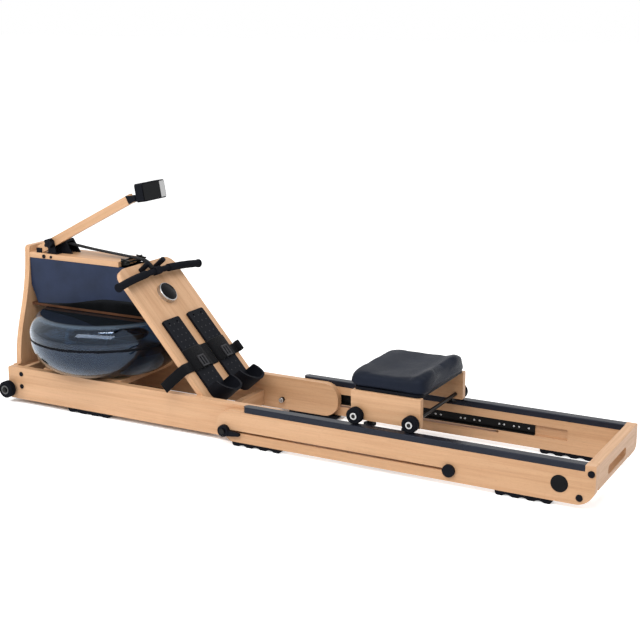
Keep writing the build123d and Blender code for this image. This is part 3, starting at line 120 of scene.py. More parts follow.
class Finish:
    """A material's node tree with short ways to add nodes and links."""

    def __init__(self, name, colour, roughness, **sockets):
        self.material = bpy.data.materials.new(name)
        self.material.use_nodes = True
        self.tree = self.material.node_tree
        self.shader = self.tree.nodes["Principled BSDF"]
        self.material.diffuse_color = (*colour[:3], 1)
        self.shader.inputs["Base Color"].default_value = (*colour[:3], 1)
        self.shader.inputs["Roughness"].default_value = roughness
        for socket, value in sockets.items():
            self.shader.inputs[socket.replace("_", " ")].default_value = value

    def add(self, kind, links=None, values=None, **settings):
        """Add a node, with its links, socket values and settings."""
        node = self.tree.nodes.new("ShaderNode" + kind)
        for setting, value in settings.items():
            setattr(node, setting, value)
        for socket, value in (values or {}).items():
            node.inputs[socket].default_value = value
        for socket, source in (links or {}).items():
            self.tree.links.new(source, node.inputs[socket])
        return node

    def place(self, scale, rotation=(0, 0, 0)):
        """Coordinates of the piece at rest in metres, turned and then stretched."""
        coordinates = self.add("TexCoord")
        turned = self.add("Mapping", {"Vector": coordinates.outputs["Object"]}, {"Rotation": rotation})
        stretched = self.add("Mapping", {"Vector": turned.outputs[0]}, {"Scale": scale})
        return stretched.outputs[0]

    def noise(self, where, detail=2.0, roughness=0.5):
        """Noise from 0 to 1 at the given coordinates."""
        values = {"Scale": 1.0, "Detail": detail, "Roughness": roughness}
        return self.add("TexNoise", {"Vector": where}, values).outputs["Fac"]

    def ramp(self, factor, *stops):
        """Colours or grey levels along a factor."""
        node = self.add("ValToRGB", {"Fac": factor})
        while len(node.color_ramp.elements) < len(stops):
            node.color_ramp.elements.new(0.5)
        for element, (place, colour) in zip(node.color_ramp.elements, stops):
            element.position = place
            element.color = (*colour, 1)
        return node.outputs["Color"]

    def join(self, node, *sockets):
        """Link or set a node's sockets, given as index and source or value."""
        for socket, value in sockets:
            if hasattr(value, "default_value"):
                self.tree.links.new(value, node.inputs[socket])
            else:
                node.inputs[socket].default_value = value

    def multiply(self, share, first, second):
        """Darken one colour by another."""
        node = self.add("Mix", data_type="RGBA", blend_type="MULTIPLY")
        self.join(node, (0, share), (6, first), (7, second))
        return node.outputs[2]

    def maths(self, operation, first, second):
        """A sum, product or comparison of two numbers or sockets."""
        node = self.add("Math", operation=operation)
        self.join(node, (0, first), (1, second))
        return node.outputs[0]

    def feed(self, socket, source):
        """Link a source to one of the shader's sockets."""
        self.tree.links.new(source, self.shader.inputs[socket])

    def bump(self, height, strength, distance):
        """Raise the surface by a height from 0 to 1."""
        values = {"Strength": strength, "Distance": distance}
        node = self.add("Bump", {"Height": height}, values)
        self.feed("Normal", node.outputs[0])


def grey(level):
    """Three equal numbers: a grey, or an even scale."""
    return (level, level, level)


def shaded(colour, share):
    """A colour made darker or lighter by a share."""
    return tuple(min(1.0, channel * share) for channel in colour)


def beech(name, looks, rotation):
    """Lacquered beech: broad tone bands, fine grain and short dark flecks along the grain."""
    finish = Finish(name, looks.pale, 0.42, Coat_Weight=0.06, Coat_Roughness=0.3, Specular_IOR_Level=0.35)
    bands = finish.noise(finish.place((0.8, 9, 9), rotation), detail=3)
    streaks = finish.noise(finish.place((2.2, 60, 60), rotation), detail=4, roughness=0.6)
    grain = finish.noise(finish.place((7, 230, 230), rotation), detail=5, roughness=0.6)
    flecks = finish.noise(finish.place((90, 900, 900), rotation), detail=2)
    tone = finish.ramp(bands, (0.32, tuple(looks.pale)), (0.7, tuple(looks.deep)))
    veins = finish.ramp(streaks, (0.36, (0.86, 0.80, 0.74)), (0.56, grey(1.0)))
    lines = finish.ramp(grain, (0.3, grey(0.86)), (0.62, grey(1.0)))
    marks = finish.ramp(flecks, (0.3, (0.74, 0.64, 0.55)), (0.4, grey(1.0)))
    tone = finish.multiply(0.7, tone, veins)
    tone = finish.multiply(0.7, tone, lines)
    tone = finish.multiply(0.5, tone, marks)
    finish.feed("Base Color", tone)
    finish.feed("Roughness", finish.ramp(grain, (0.3, grey(0.52)), (0.7, grey(0.38))))
    finish.bump(grain, 0.12, 0.0006)
    return finish.material


def moulded(name, colour, roughness, grain=1500, depth=0.25, shine=0.07, **sockets):
    """Moulded plastic or rubber with a fine grain and slight wear in its gloss."""
    finish = Finish(name, colour, roughness, Specular_IOR_Level=shine, Specular_Tint=COOL, **sockets)
    fine = finish.noise(finish.place(grey(grain)), detail=2)
    broad = finish.noise(finish.place(grey(14)), detail=3)
    finish.feed("Base Color", finish.ramp(broad, (0.3, shaded(colour, 0.8)), (0.7, shaded(colour, 1.22))))
    low, high = max(0.02, roughness - 0.06), min(1, roughness + 0.08)
    finish.feed("Roughness", finish.ramp(broad, (0.3, grey(low)), (0.7, grey(high))))
    finish.bump(fine, depth, 0.0003)
    return finish.material


def metal(name, colour, roughness):
    """Drawn or turned metal with fine lines along one direction."""
    finish = Finish(name, colour, roughness, Metallic=1.0)
    lines = finish.noise(finish.place((20, 1400, 1400)), detail=3)
    low, high = roughness - 0.08, roughness + 0.1
    finish.feed("Roughness", finish.ramp(lines, (0.3, grey(low)), (0.7, grey(high))))
    finish.bump(lines, 0.08, 0.0002)
    return finish.material


def woven(name, colour):
    """Webbing: ribs across the strap and fine yarns along it, with a soft sheen."""
    finish = Finish(name, colour, 0.85, Sheen_Weight=0.05, Sheen_Roughness=0.5, Specular_IOR_Level=0.1)
    coordinates = finish.add("TexCoord").outputs["UV"]
    ribs = finish.add("TexWave", {"Vector": coordinates}, {"Scale": 160}, bands_direction="X")
    yarns = finish.add("TexWave", {"Vector": coordinates}, {"Scale": 260}, bands_direction="Y")
    height = finish.maths("MULTIPLY", ribs.outputs["Fac"], yarns.outputs["Fac"])
    # Colour follows the weave's height: darker in its low parts and lighter on its ridges, as painted shade
    # and painted highlight.
    finish.feed("Base Color", finish.ramp(height, (0.0, shaded(colour, 0.55)), (0.8, shaded(colour, 1.6))))
    finish.bump(height, 0.6, 0.0008)
    return finish.material


def vinyl(name, colour):
    """Soft-touch vinyl with a leather grain."""
    finish = Finish(name, colour, 0.48, Specular_IOR_Level=0.16, Specular_Tint=COOL)
    cells = finish.add("TexVoronoi", {"Vector": finish.place(grey(520))}, feature="DISTANCE_TO_EDGE")
    broad = finish.noise(finish.place(grey(9)), detail=3)
    creases = finish.ramp(cells.outputs["Distance"], (0.0, grey(0.0)), (0.12, grey(1.0)))
    finish.feed("Base Color", finish.ramp(broad, (0.3, shaded(colour, 0.82)), (0.7, shaded(colour, 1.2))))
    finish.feed("Roughness", finish.ramp(broad, (0.3, grey(0.46)), (0.7, grey(0.58))))
    finish.bump(creases, 0.2, 0.0005)
    return finish.material


def clear(name, colour, transmission, index):
    """Clear plastic or water, slightly uneven so that highlights break up."""
    gloss = {"Specular_IOR_Level": 0.24, "Specular_Tint": COOL}
    finish = Finish(name, colour, 0.03, Transmission_Weight=transmission, IOR=index, **gloss)
    ripple = finish.noise(finish.place(grey(9)), detail=1)
    finish.bump(ripple, 0.05, 0.003)
    return finish


def darken_towards_top(finish, colour, start, stop):
    """Darken a clear finish and make it less clear towards a height."""
    where = finish.add("SeparateXYZ", {"Vector": finish.place(grey(1))}).outputs["Z"]
    values = {"From Min": start, "From Max": stop}
    share = finish.add("MapRange", {"Value": where}, values).outputs["Result"]
    finish.feed("Base Color", finish.ramp(share, (0.0, tuple(colour)), (1.0, shaded(colour, 0.03))))
    solid = finish.ramp(share, (0.0, grey(1.0)), (1.0, grey(0.1)))
    finish.feed("Transmission Weight", solid)


def dress(material, *names):
    """Give CAD nodes a finish."""
    for name in names:
        NODES[name].data.materials.clear()
        NODES[name].data.materials.append(material)


def soften(width, *names):
    """Round the sharp edges of boards and mouldings."""
    for name in names:
        node = NODES[name]
        weld = node.modifiers.new("weld", "WELD")
        weld.merge_threshold = WELD_DISTANCE
        bevel = node.modifiers.new("round", "BEVEL")
        bevel.width = width
        bevel.segments = 3
        bevel.limit_method = "ANGLE"
        bevel.angle_limit = SHARP_ANGLE
        bevel.use_clamp_overlap = True
        shade = node.modifiers.new("shade", "WEIGHTED_NORMAL")
        shade.keep_sharp = False


def make_piece(name, mesh, material, body, slot, *replaced):
    """Link a new mesh as a piece that rides on a body."""
    piece = bpy.data.objects.new(name, mesh)
    bpy.context.scene.collection.objects.link(piece)
    mesh.materials.append(material)
    mesh.shade_smooth()
    if body:
        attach(piece, body)
    if replaced:
        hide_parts(*replaced)
    return piece


def round_edges(piece, width, segments=2):
    """Ease the edges of a made piece and keep its flat faces flat."""
    bevel = piece.modifiers.new("round", "BEVEL")
    bevel.width = width
    bevel.segments = segments
    bevel.limit_method = "ANGLE"
    shade = piece.modifiers.new("shade", "WEIGHTED_NORMAL")
    shade.keep_sharp = False


def mesh_from(name, build):
    """A mesh made by a function that fills a bmesh."""
    made = bmesh.new()
    build(made)
    bmesh.ops.remove_doubles(made, verts=made.verts, dist=1e-6)
    bmesh.ops.recalc_face_normals(made, faces=made.faces)
    mesh = bpy.data.meshes.new(name)
    made.to_mesh(mesh)
    made.free()
    return mesh


def turned(name, profile, places, axis, segments=40):
    """Copies of a turned piece: its profile runs from axis to axis, or closes as a ring."""
    turn = axis.to_track_quat("Z", "Y").to_matrix().to_4x4()
    closed = profile[0][0] > 0
    links = len(profile) if closed else len(profile) - 1

    def build(made):
        for place in places:
            seat = Matrix.Translation(place) @ turn
            spokes = []
            for number in range(segments):
                angle = 2 * math.pi * number / segments
                arm = Vector((math.cos(angle), math.sin(angle), 0))
                spokes.append([made.verts.new(seat @ (arm * r + UPRIGHT * h)) for r, h in profile])
            for here, after in zip(spokes, spokes[1:] + spokes[:1]):
                for low in range(links):
                    high = (low + 1) % len(profile)
                    made.faces.new((here[low], here[high], after[high], after[low]))

    return mesh_from(name, build)


def joined(name, meshes):
    """One mesh out of several."""

    def build(made):
        for mesh in meshes:
            made.from_mesh(mesh)

    return mesh_from(name, build)


def ring_profile(inner, outer, height):
    """Profile of a flat ring with eased edges, sunk a little into the face that it stands on."""
    ease = min(height, (outer - inner) / 2) * 0.5
    return [
        (inner, -SUNK), (inner, height - ease), (inner + ease, height),
        (outer - ease, height), (outer, height - ease), (outer, -SUNK),
    ]


def cap_profile(radius, height, recess):
    """Profile of a round cap with an eased rim and a round recess in its middle."""
    ease = height * 0.4
    return [
        (0, -SUNK), (radius, -SUNK), (radius, height - ease), (radius - ease, height),
        (recess + ease, height), (recess, height - ease), (0, height - ease),
    ]


def strap_runs(name, *runs):
    """A mesh of flat straps: each run has its middle line, width direction, width and thickness."""
    profile = [(-0.5, 0.0), (-0.46, 0.5), (0.46, 0.5), (0.5, 0.0), (0.46, -0.5), (-0.46, -0.5)]

    def build(made):
        weave = made.loops.layers.uv.new("weave")
        for middle, across, width, thickness in runs:
            headings = [(after - here).normalized() for here, after in zip(middle, middle[1:])]
            headings.append(headings[-1])
            rings = []
            for point, heading in zip(middle, headings):
                top = heading.cross(across).normalized()
                spots = [point + across * (a * width) + top * (b * thickness) for a, b in profile]
                rings.append([made.verts.new(spot) for spot in spots])
            travelled = 0.0
            for here, after, start, stop in zip(rings, rings[1:], middle, middle[1:]):
                reached = travelled + (stop - start).length
                for first in range(len(profile)):
                    second = (first + 1) % len(profile)
                    face = made.faces.new((here[first], here[second], after[second], after[first]))
                    spots = ((travelled, first), (travelled, second), (reached, second), (reached, first))
                    for loop, (along, corner) in zip(face.loops, spots):
                        loop[weave].uv = (along, profile[corner][0] * width)
                travelled = reached
            made.faces.new(rings[0])
            made.faces.new(list(reversed(rings[-1])))

    return mesh_from(name, build)


def smooth_line(points, count):
    """Points evenly spread on a smooth curve through the given points."""
    curve = []
    spans = len(points) - 1
    for number in range(count + 1):
        place = number / count * spans
        index = min(int(place), spans - 1)
        share = place - index
        before = points[max(index - 1, 0)]
        first, second = points[index], points[index + 1]
        after = points[min(index + 2, spans)]
        slope_in, slope_out = (second - before) / 2, (after - first) / 2
        square, cube = share ** 2, share ** 3
        spot = first * (2 * cube - 3 * square + 1) + slope_in * (cube - 2 * square + share)
        spot += second * (3 * square - 2 * cube) + slope_out * (cube - square)
        curve.append(spot)
    return curve


def height_along(share, *knots):
    """Height at a share of a length, eased between knots of share and height."""
    for (start, low), (stop, high) in zip(knots, knots[1:]):
        if share <= stop:
            part = max(0.0, (share - start) / (stop - start))
            return low + (high - low) * part * part * (3 - 2 * part)
    return knots[-1][1]


class WoodLooks(PropertyGroup):
    """Colours of the beech boards."""

    pale: FloatVectorProperty(
        name="Pale tone", description="Lighter bands", subtype="COLOR", default=(0.665, 0.405, 0.235)
    )
    deep: FloatVectorProperty(
        name="Deep tone", description="Darker bands", subtype="COLOR", default=(0.575, 0.335, 0.18)
    )
    edge: FloatProperty(
        name="Edge rounding", description="Radius of the boards' eased edges", default=0.0016, unit="LENGTH"
    )


class FittingLooks(PropertyGroup):
    """Colours of the plastic, metal and clear pieces."""

    cover: FloatVectorProperty(
        name="Cover", description="Navy side covers", subtype="COLOR", default=(0.018, 0.026, 0.055)
    )
    black: FloatVectorProperty(
        name="Black", description="Moulded black fittings", subtype="COLOR", default=(0.006, 0.0064, 0.0088)
    )
    track: FloatVectorProperty(
        name="Track", description="Seat tracks", subtype="COLOR", default=(0.010, 0.011, 0.017)
    )
    shell: FloatVectorProperty(
        name="Tank shell", description="Tint of the clear tank", subtype="COLOR", default=(0.23, 0.33, 0.45)
    )
    water: FloatVectorProperty(
        name="Water", description="Tint of the water", subtype="COLOR", default=(0.008, 0.05, 0.10)
    )


class CushionLooks(PropertyGroup):
    """Shape and colour of the seat cushion."""

    cover: FloatVectorProperty(
        name="Vinyl", description="Cover of the seat", subtype="COLOR", default=(0.0055, 0.0075, 0.0145)
    )
    rim: FloatProperty(
        name="Rim", description="Rounding between the seat's top and its skirt", default=0.012, unit="LENGTH"
    )
    swell: FloatProperty(
        name="Swell", description="How far the filling may push the cover out", default=0.005, unit="LENGTH"
    )
    steps: IntProperty(name="Steps", description="Frames of the filling's simulation", default=20, min=1)


class StrapLooks(PropertyGroup):
    """Sizes and colour of the webbing."""

    webbing: FloatVectorProperty(
        name="Webbing", description="Colour of the straps", subtype="COLOR", default=(0.0045, 0.0047, 0.0062)
    )
    band: FloatProperty(name="Foot band", description="Width over the foot", default=0.080, unit="LENGTH")
    tail: FloatProperty(name="Tail", description="Width of the band's end", default=0.036, unit="LENGTH")
    pull: FloatProperty(name="Pull strap", description="Width of the strap", default=0.028, unit="LENGTH")
    thickness: FloatProperty(name="Thickness", description="Webbing", default=0.0022, unit="LENGTH")


class StageLooks(PropertyGroup):
    """Light and floor."""

    floor: FloatVectorProperty(
        name="Floor", description="Colour of the floor", subtype="COLOR", default=(0.86, 0.86, 0.86)
    )
    lift: FloatProperty(name="Lift", description="How much whiter than lit the floor looks", default=0.5)
    sky: FloatProperty(name="Sky", description="Strength of the light from all round", default=0.62)
    key: FloatProperty(name="Key light", description="Power of the main lamp", default=115.0, unit="POWER")


class ROWER_OT_boards(Operator):
    """Finish the beech boards and bars along their grain"""

    bl_idname = "rower.boards"
    bl_label = "Beech boards"

    def execute(self, context):
        looks = context.scene.rower_wood
        along = ("front_rails", "rear_rails", "top_deck", "tank_board", "seat_panels")
        across = ("end_board", "cross_boards")
        dress(beech("beech_along", looks, (0, 0, 0)), *along)
        dress(beech("beech_cross", looks, (0, 0, QUARTER_TURN)), *across)
        dress(beech("beech_upright", looks, (0, QUARTER_TURN, 0)), "front_panel")
        dress(beech("beech_slope", looks, (0, -BOARD_SLOPE, 0)), "footboard")
        dress(beech("beech_arm", looks, (0, ARM_SLOPE, 0)), "monitor_arm")
        # The tank bridge gets a dark brown finish as painted shade, for the shade that it lies in under the
        # covers.
        dress(moulded("shade_painted_wood", (0.10, 0.045, 0.024), 0.5), "tank_bridge")
        soften(looks.edge, *along, *across, "front_panel", "footboard", "monitor_arm")
        return {"FINISHED"}


class ROWER_OT_fittings(Operator):
    """Finish the moulded, rubber and metal fittings"""

    bl_idname = "rower.fittings"
    bl_label = "Fittings"

    def execute(self, context):
        looks = context.scene.rower_fittings
        black = moulded("black_plastic", looks.black, 0.5)
        rubber = moulded("black_rubber", shaded(looks.black, 0.9), 0.72, grain=900)
        foam = moulded("grip_foam", shaded(looks.black, 1.2), 0.85, grain=700, depth=0.5)
        for side, _ in SIDES:
            dress(black, f"foot_plate_{side}", f"clamp_lever_{side}")
            dress(rubber, f"transport_wheel_{side}")
            for end in ENDS:
                dress(black, f"guide_roller_{end}_{side}")
        dress(black, "strap_housing", "seat_base", "arm_bracket", "arm_knob", "arm_head", "display_case")
        dress(black, "rear_caps", "front_caps", "strap_spool", "strap_pulley", "handle_pegs")
        dress(rubber, "tank_seal", "front_feet", "rear_feet", "seat_rollers_front", "seat_rollers_rear")
        dress(foam, "handle_bar", "handle_grips")
        dress(moulded("navy_cover", looks.cover, 0.42, depth=0.12, shine=0.2), "side_covers")
        dress(moulded("track_plastic", looks.track, 0.3, depth=0.12, shine=0.25), "tracks")
        dress(metal("drawn_steel", grey(0.4), 0.34), "impeller", "shaft_bearings")
        steel = metal("dark_steel", grey(0.022), 0.42)
        dress(steel, "strap_guides", "seat_axles", "slide_bars", "frame_bolts")
        dress(metal("dark_channel", grey(0.014), 0.45), "slide_channels")
        dress(moulded("display_window", grey(0.004), 0.3, depth=0.02, shine=0.1), "display_glass")
        dress(metal("silver_trim", grey(0.5), 0.3), "display_strip")
        dress(metal("badge_silver", grey(0.5), 0.32), "footboard_badge")
        dress(moulded("blank_plate", grey(0.008), 0.3, depth=0.05), "side_badges")
        soften(0.0012, "side_covers", "tracks", "arm_head", "display_case", "strap_housing", "seat_base")
        soften(0.001, "clamp_lever_left", "clamp_lever_right", "front_feet", "rear_feet", "arm_knob")
        return {"FINISHED"}


class ROWER_OT_tank(Operator):
    """Make the tank clear and fill it with water"""

    bl_idname = "rower.tank"
    bl_label = "Water tank"

    # Depth below the top over which the shell turns from clear to black
    dark_top_depth = 0.012
    shell_index = 1.46
    water_index = 1.33
    water_clearness = 0.35

    def execute(self, context):
        looks = context.scene.rower_fittings
        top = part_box("tank_upper")[1].z
        shell = clear("clear_shell", looks.shell, 1.0, self.shell_index)
        darken_towards_top(shell, looks.shell, top - self.dark_top_depth, top)
        dress(shell.material, "tank_lower", "tank_upper")
        water = clear("tank_water", looks.water, self.water_clearness, self.water_index)
        dress(water.material, "tank_water")
        return {"FINISHED"}


class ROWER_OT_cushion(Operator):
    """Make the dished seat cushion and let its filling swell"""

    bl_idname = "rower.cushion"
    bl_label = "Seat cushion"

    # Heights of the top above the base, in shares of the length from the front:
    # along the middle and along the sides
    middle_heights = ((0.0, 0.045), (0.15, 0.041), (0.42, 0.031), (0.72, 0.037), (0.95, 0.050), (1.0, 0.050))
    side_heights = ((0.0, 0.037), (0.3, 0.036), (0.7, 0.038), (0.92, 0.046), (1.0, 0.047))
    # Skirt from its hem to below the rim: how far it draws in and its share of the height
    skirt = ((0.010, 0.0), (0.003, 0.04), (0.0, 0.22), (0.0015, 0.5), (0.004, 0.8))
    hump_height = 0.008
    hump_place = 0.55
    hump_width = 0.26
    corner_power = 0.2
    segments = 112
    inset = 0.002
    # The nose overhangs the front of the base, and its hem rises there
    nose_reach = 0.018
    nose_share = 0.14
    nose_rise = 0.010
    # The rounded rim above the skirt, and the rings that close the top
    rim_start = 0.005
    rim_steps = 4
    top_shares = (0.88, 0.74, 0.6, 0.45, 0.3, 0.15)

    def execute(self, context):
        looks = context.scene.rower_cushion
        mesh = mesh_from("seat_cushion_cover", lambda made: self.build(made, looks))
        material = vinyl("seat_vinyl", looks.cover)
        piece = make_piece("seat_cushion_cover", mesh, material, "seat", "cushion_cover", "seat_cushion")
        swell(piece, looks.swell, looks.steps)
        return {"FINISHED"}

    def top_height(self, x, y, half):
        """Height of the dished top: low in the middle, two humps at the rear, a raised nose."""
        share = 0.5 + 0.5 * x / half.x
        side = abs(y / half.y)
        middle = height_along(share, *self.middle_heights)
        edge = height_along(share, *self.side_heights)
        rear = height_along(share, (0.7, 0.0), (1.0, self.hump_height))
        hump = rear * math.exp(-((side - self.hump_place) / self.hump_width) ** 2)
        return middle + (edge - middle) * min(1.0, side) ** 3 + hump

    def build(self, made, looks):
        """Fill a bmesh with the skirt, the rim and the top, ring by ring."""
        low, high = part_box("seat_cushion")
        low.x -= self.nose_reach
        centre = (low + high) / 2
        half = (high - low) / 2 - Vector((self.inset, self.inset, 0))

        def outline(number, draw_in):
            """A point of the rounded outline, drawn in from the edge."""
            turn = 2 * math.pi * number / self.segments
            c, s = math.cos(turn), math.sin(turn)
            x = math.copysign(abs(c) ** self.corner_power, c) * (half.x - draw_in)
            y = math.copysign(abs(s) ** self.corner_power, s) * (half.y - draw_in)
            return x, y

        def ring(draw_in, lift):
            """A ring of points at a share of the height of the top above them."""
            points = []
            for number in range(self.segments):
                x, y = outline(number, draw_in)
                top = self.top_height(x, y, half)
                share = 0.5 + 0.5 * x / half.x
                hem = self.nose_rise * max(0.0, 1 - share / self.nose_share)
                rise = hem + lift(top) * (top - hem) / top
                points.append(made.verts.new((centre.x + x, centre.y + y, low.z + rise)))
            return points

        rings = []
        for draw_in, part in self.skirt:
            rings.append(ring(draw_in, lambda top, part=part: (top - looks.rim) * part))
        for step in range(self.rim_steps + 1):
            turn = QUARTER_TURN * step / self.rim_steps
            draw_in = self.rim_start + looks.rim * (1 - math.cos(turn))
            rings.append(ring(draw_in, lambda top, turn=turn: top - looks.rim * (1 - math.sin(turn))))
        inner = self.rim_start + looks.rim
        for share in self.top_shares:
            rings.append(ring(inner + (half.x - inner) * (1 - share), lambda top: top))
        for lower, upper in zip(rings, rings[1:]):
            for number in range(self.segments):
                after = (number + 1) % self.segments
                made.faces.new((lower[number], lower[after], upper[after], upper[number]))
        made.faces.new(list(reversed(rings[0])))
        made.faces.new(rings[-1])


def swell(piece, cap, steps):
    """Fill a cushion: remesh it, push its cover out as cloth and keep each point within the cap."""
    scene = bpy.context.scene
    remesh = piece.modifiers.new("even", "REMESH")
    remesh.mode = "VOXEL"
    remesh.voxel_size = SWELL_MESH
    bpy.context.view_layer.objects.active = piece
    bpy.ops.object.modifier_apply(modifier=remesh.name)
    before = [vertex.co.copy() for vertex in piece.data.vertices]
    cloth = piece.modifiers.new("filling", "CLOTH")
    cloth.settings.use_pressure = True
    cloth.settings.uniform_pressure_force = SWELL_PRESSURE
    cloth.settings.effector_weights.gravity = 0
    cloth.point_cache.frame_start = 1
    cloth.point_cache.frame_end = steps
    for number in range(1, steps + 1):
        scene.frame_set(number)
    bpy.ops.object.modifier_apply(modifier=cloth.name)
    scene.frame_set(1)
    for vertex, start in zip(piece.data.vertices, before):
        move = vertex.co - start
        if move.length > cap:
            vertex.co = start + move * (cap / move.length)
    relax = piece.modifiers.new("relax", "SMOOTH")
    relax.iterations = SWELL_RELAX
    bpy.ops.object.modifier_apply(modifier=relax.name)
    finer = piece.modifiers.new("finer", "SUBSURF")
    finer.levels = 1
    finer.render_levels = 1
    piece.data.shade_smooth()


class ROWER_OT_foot_straps(Operator):
    """Lay the webbing over the foot plates, with its buckles, the free tail and the rolled end"""

    bl_idname = "rower.foot_straps"
    bl_label = "Foot straps"

    band_along = 0.024
    flat_along = 0.006
    # Band over a plate: distance from the plate's middle and height above the board
    arch_places = (
        (-0.0462, 0.0030), (-0.0458, 0.0098), (-0.039, 0.0135), (-0.022, 0.0172), (0.0, 0.0184),
        (0.022, 0.0172), (0.039, 0.0135), (0.0458, 0.0098), (0.0462, 0.0030),
    )
    # The left band goes on over the board to the other plate: place across and height
    gap_places = ((-0.0238, 0.0104), (-0.0215, 0.0048), (-0.012, 0.0024), (0.004, 0.0019), (0.021, 0.0019))
    # From the plate's outer edge: distance outwards and height above the board
    edge_places = ((0.001, 0.0052), (0.012, 0.0022))
    edge_gap = 0.0018
    roll_radius = 0.0118
    roll_turns = 1.4
    roll_points = 24
    roll_tightening = 0.32
    buckle_size = (0.042, 0.034, 0.005)
    buckle_bar = 0.006
    buckle_gap = 0.0002
    buckle_edge = 0.0012
    buckle_height = 0.0192
    tail_drops = (
        (-0.004, -0.016, -0.006), (-0.012, -0.038, -0.019),
        (-0.021, -0.059, -0.033), (-0.030, -0.078, -0.048),
    )

    def execute(self, context):
        looks = context.scene.rower_straps
        webbing = woven("foot_webbing", looks.webbing)
        black = bpy.data.materials["black_plastic"]
        for side, sign in SIDES:
            middle = plate_middle(side)
            band = [on_board(self.band_along, middle + place, height) for place, height in self.arch_places]
            if sign < 0:
                gap = [on_board(self.band_along, place, height) for place, height in self.gap_places]
                band = band[:-2] + gap
            flat = self.flat(sign, outer_face(f"foot_plate_{side}", sign))
            end = self.tail(flat[-1]) if sign < 0 else self.roll(flat[-1])
            line = smooth_line(flat + end[:1], 12) + smooth_line(end, 36)[1:]
            mesh = strap_runs(
                f"foot_strap_web_{side}",
                (smooth_line(band, 48), UP_SLOPE, looks.band, looks.thickness),
                (line, UP_SLOPE, looks.tail, looks.thickness),
            )
            body = f"foot_rest_{side}"
            make_piece(mesh.name, mesh, webbing, body, "webbing", f"foot_strap_{side}")
            crown = on_board(self.flat_along, middle, self.buckle_height)
            self.buckle(f"strap_buckle_{side}", crown, black, body)
        return {"FINISHED"}

    def flat(self, sign, edge):
        """The stretch from the plate's outer edge to the board's edge."""
        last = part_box("footboard")[1].y
        places = [(edge + sign * outwards, height) for outwards, height in self.edge_places]
        places.append((sign * last, self.edge_gap))
        return [on_board(self.flat_along, across, height) for across, height in places]

    def tail(self, start):
        """The free tail, which leans out past the rail and droops."""
        return [start + Vector(drop) for drop in self.tail_drops]

    def roll(self, start):
        """The rolled end, a spiral that stands on the board's edge."""
        centre = start + OUT * self.roll_radius
        points = []
        for number in range(1, self.roll_points + 1):
            turn = 2 * math.pi * self.roll_turns * number / self.roll_points
            radius = self.roll_radius * (1 - self.roll_tightening * number / self.roll_points)
            points.append(centre + SIDEWAYS * (math.sin(turn) * radius) - OUT * (math.cos(turn) * radius))
        return points

    def buckle(self, name, centre, material, body):
        """A ladder buckle: a frame with a middle bar."""
        along, across, height = self.buckle_size
        bar = self.buckle_bar
        rib = along / 2 - bar - self.buckle_gap

        def block(made, middle, half_across, half_along):
            """A bar of the buckle, standing on the strap."""
            corners = ((-1, -1), (1, -1), (1, 1), (-1, 1))
            bottom = []
            for a, b in corners:
                bottom.append(middle + SIDEWAYS * (a * half_across) + UP_SLOPE * (b * half_along))
            lower = [made.verts.new(point) for point in bottom]
            upper = [made.verts.new(point + OUT * height) for point in bottom]
            made.faces.new(list(reversed(lower)))
            made.faces.new(upper)
            for first in range(4):
                second = (first + 1) % 4
                made.faces.new((lower[first], lower[second], upper[second], upper[first]))

        def build(made):
            for share in (-0.5, 0.5):
                block(made, centre + UP_SLOPE * (share * (along - bar)), across / 2, bar / 2)
            for share in (-0.5, 0.0, 0.5):
                block(made, centre + SIDEWAYS * (share * (across - bar)), bar / 2, rib)

        piece = make_piece(name, mesh_from(name, build), material, body, "black_plastic")
        round_edges(piece, self.buckle_edge)


class ROWER_OT_pull_strap(Operator):
    """Run the pull strap over the deck and the guide rods to the handle"""

    bl_idname = "rower.pull_strap"
    bl_label = "Pull strap"

    sag = 0.0025
    sag_share = 0.45
    # Ends lie this far inside the strap's box
    end_inset = 0.001
    # The bend before the handle: how far in front of it and below the box's top
    knee_back = 0.030
    knee_drop = 0.010
    knee_rise = 0.002

    def execute(self, context):
        looks = context.scene.rower_straps
        webbing = woven("pull_webbing", looks.webbing)
        deck_low, deck_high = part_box("deck_strap")
        start = Vector((deck_low.x, 0, deck_high.z - self.end_inset))
        rod = Vector((deck_high.x, 0, deck_low.z + self.end_inset))
        flat = smooth_line([start, start.lerp(rod, self.sag_share) - UPRIGHT * self.sag, rod], 30)
        run = (flat, SIDEWAYS, looks.pull, looks.thickness)
        mesh = strap_runs("deck_strap_web", run)
        make_piece(mesh.name, mesh, webbing, "front_frame", "webbing", "deck_strap")
        free_low, free_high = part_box("handle_strap")
        clip = Vector((free_high.x - self.end_inset, 0, free_low.z + self.end_inset))
        bend = Vector((clip.x - self.knee_back, 0, free_high.z - self.knee_drop))
        over = rod.lerp(bend, 0.5) + UPRIGHT * self.knee_rise
        line = smooth_line([rod, over, bend, clip], 48)
        run = (line, SIDEWAYS, looks.pull, looks.thickness)
        mesh = strap_runs("handle_strap_web", run)
        piece = make_piece(mesh.name, mesh, webbing, None, "webbing", "handle_strap")
        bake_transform(piece)
        return {"FINISHED"}


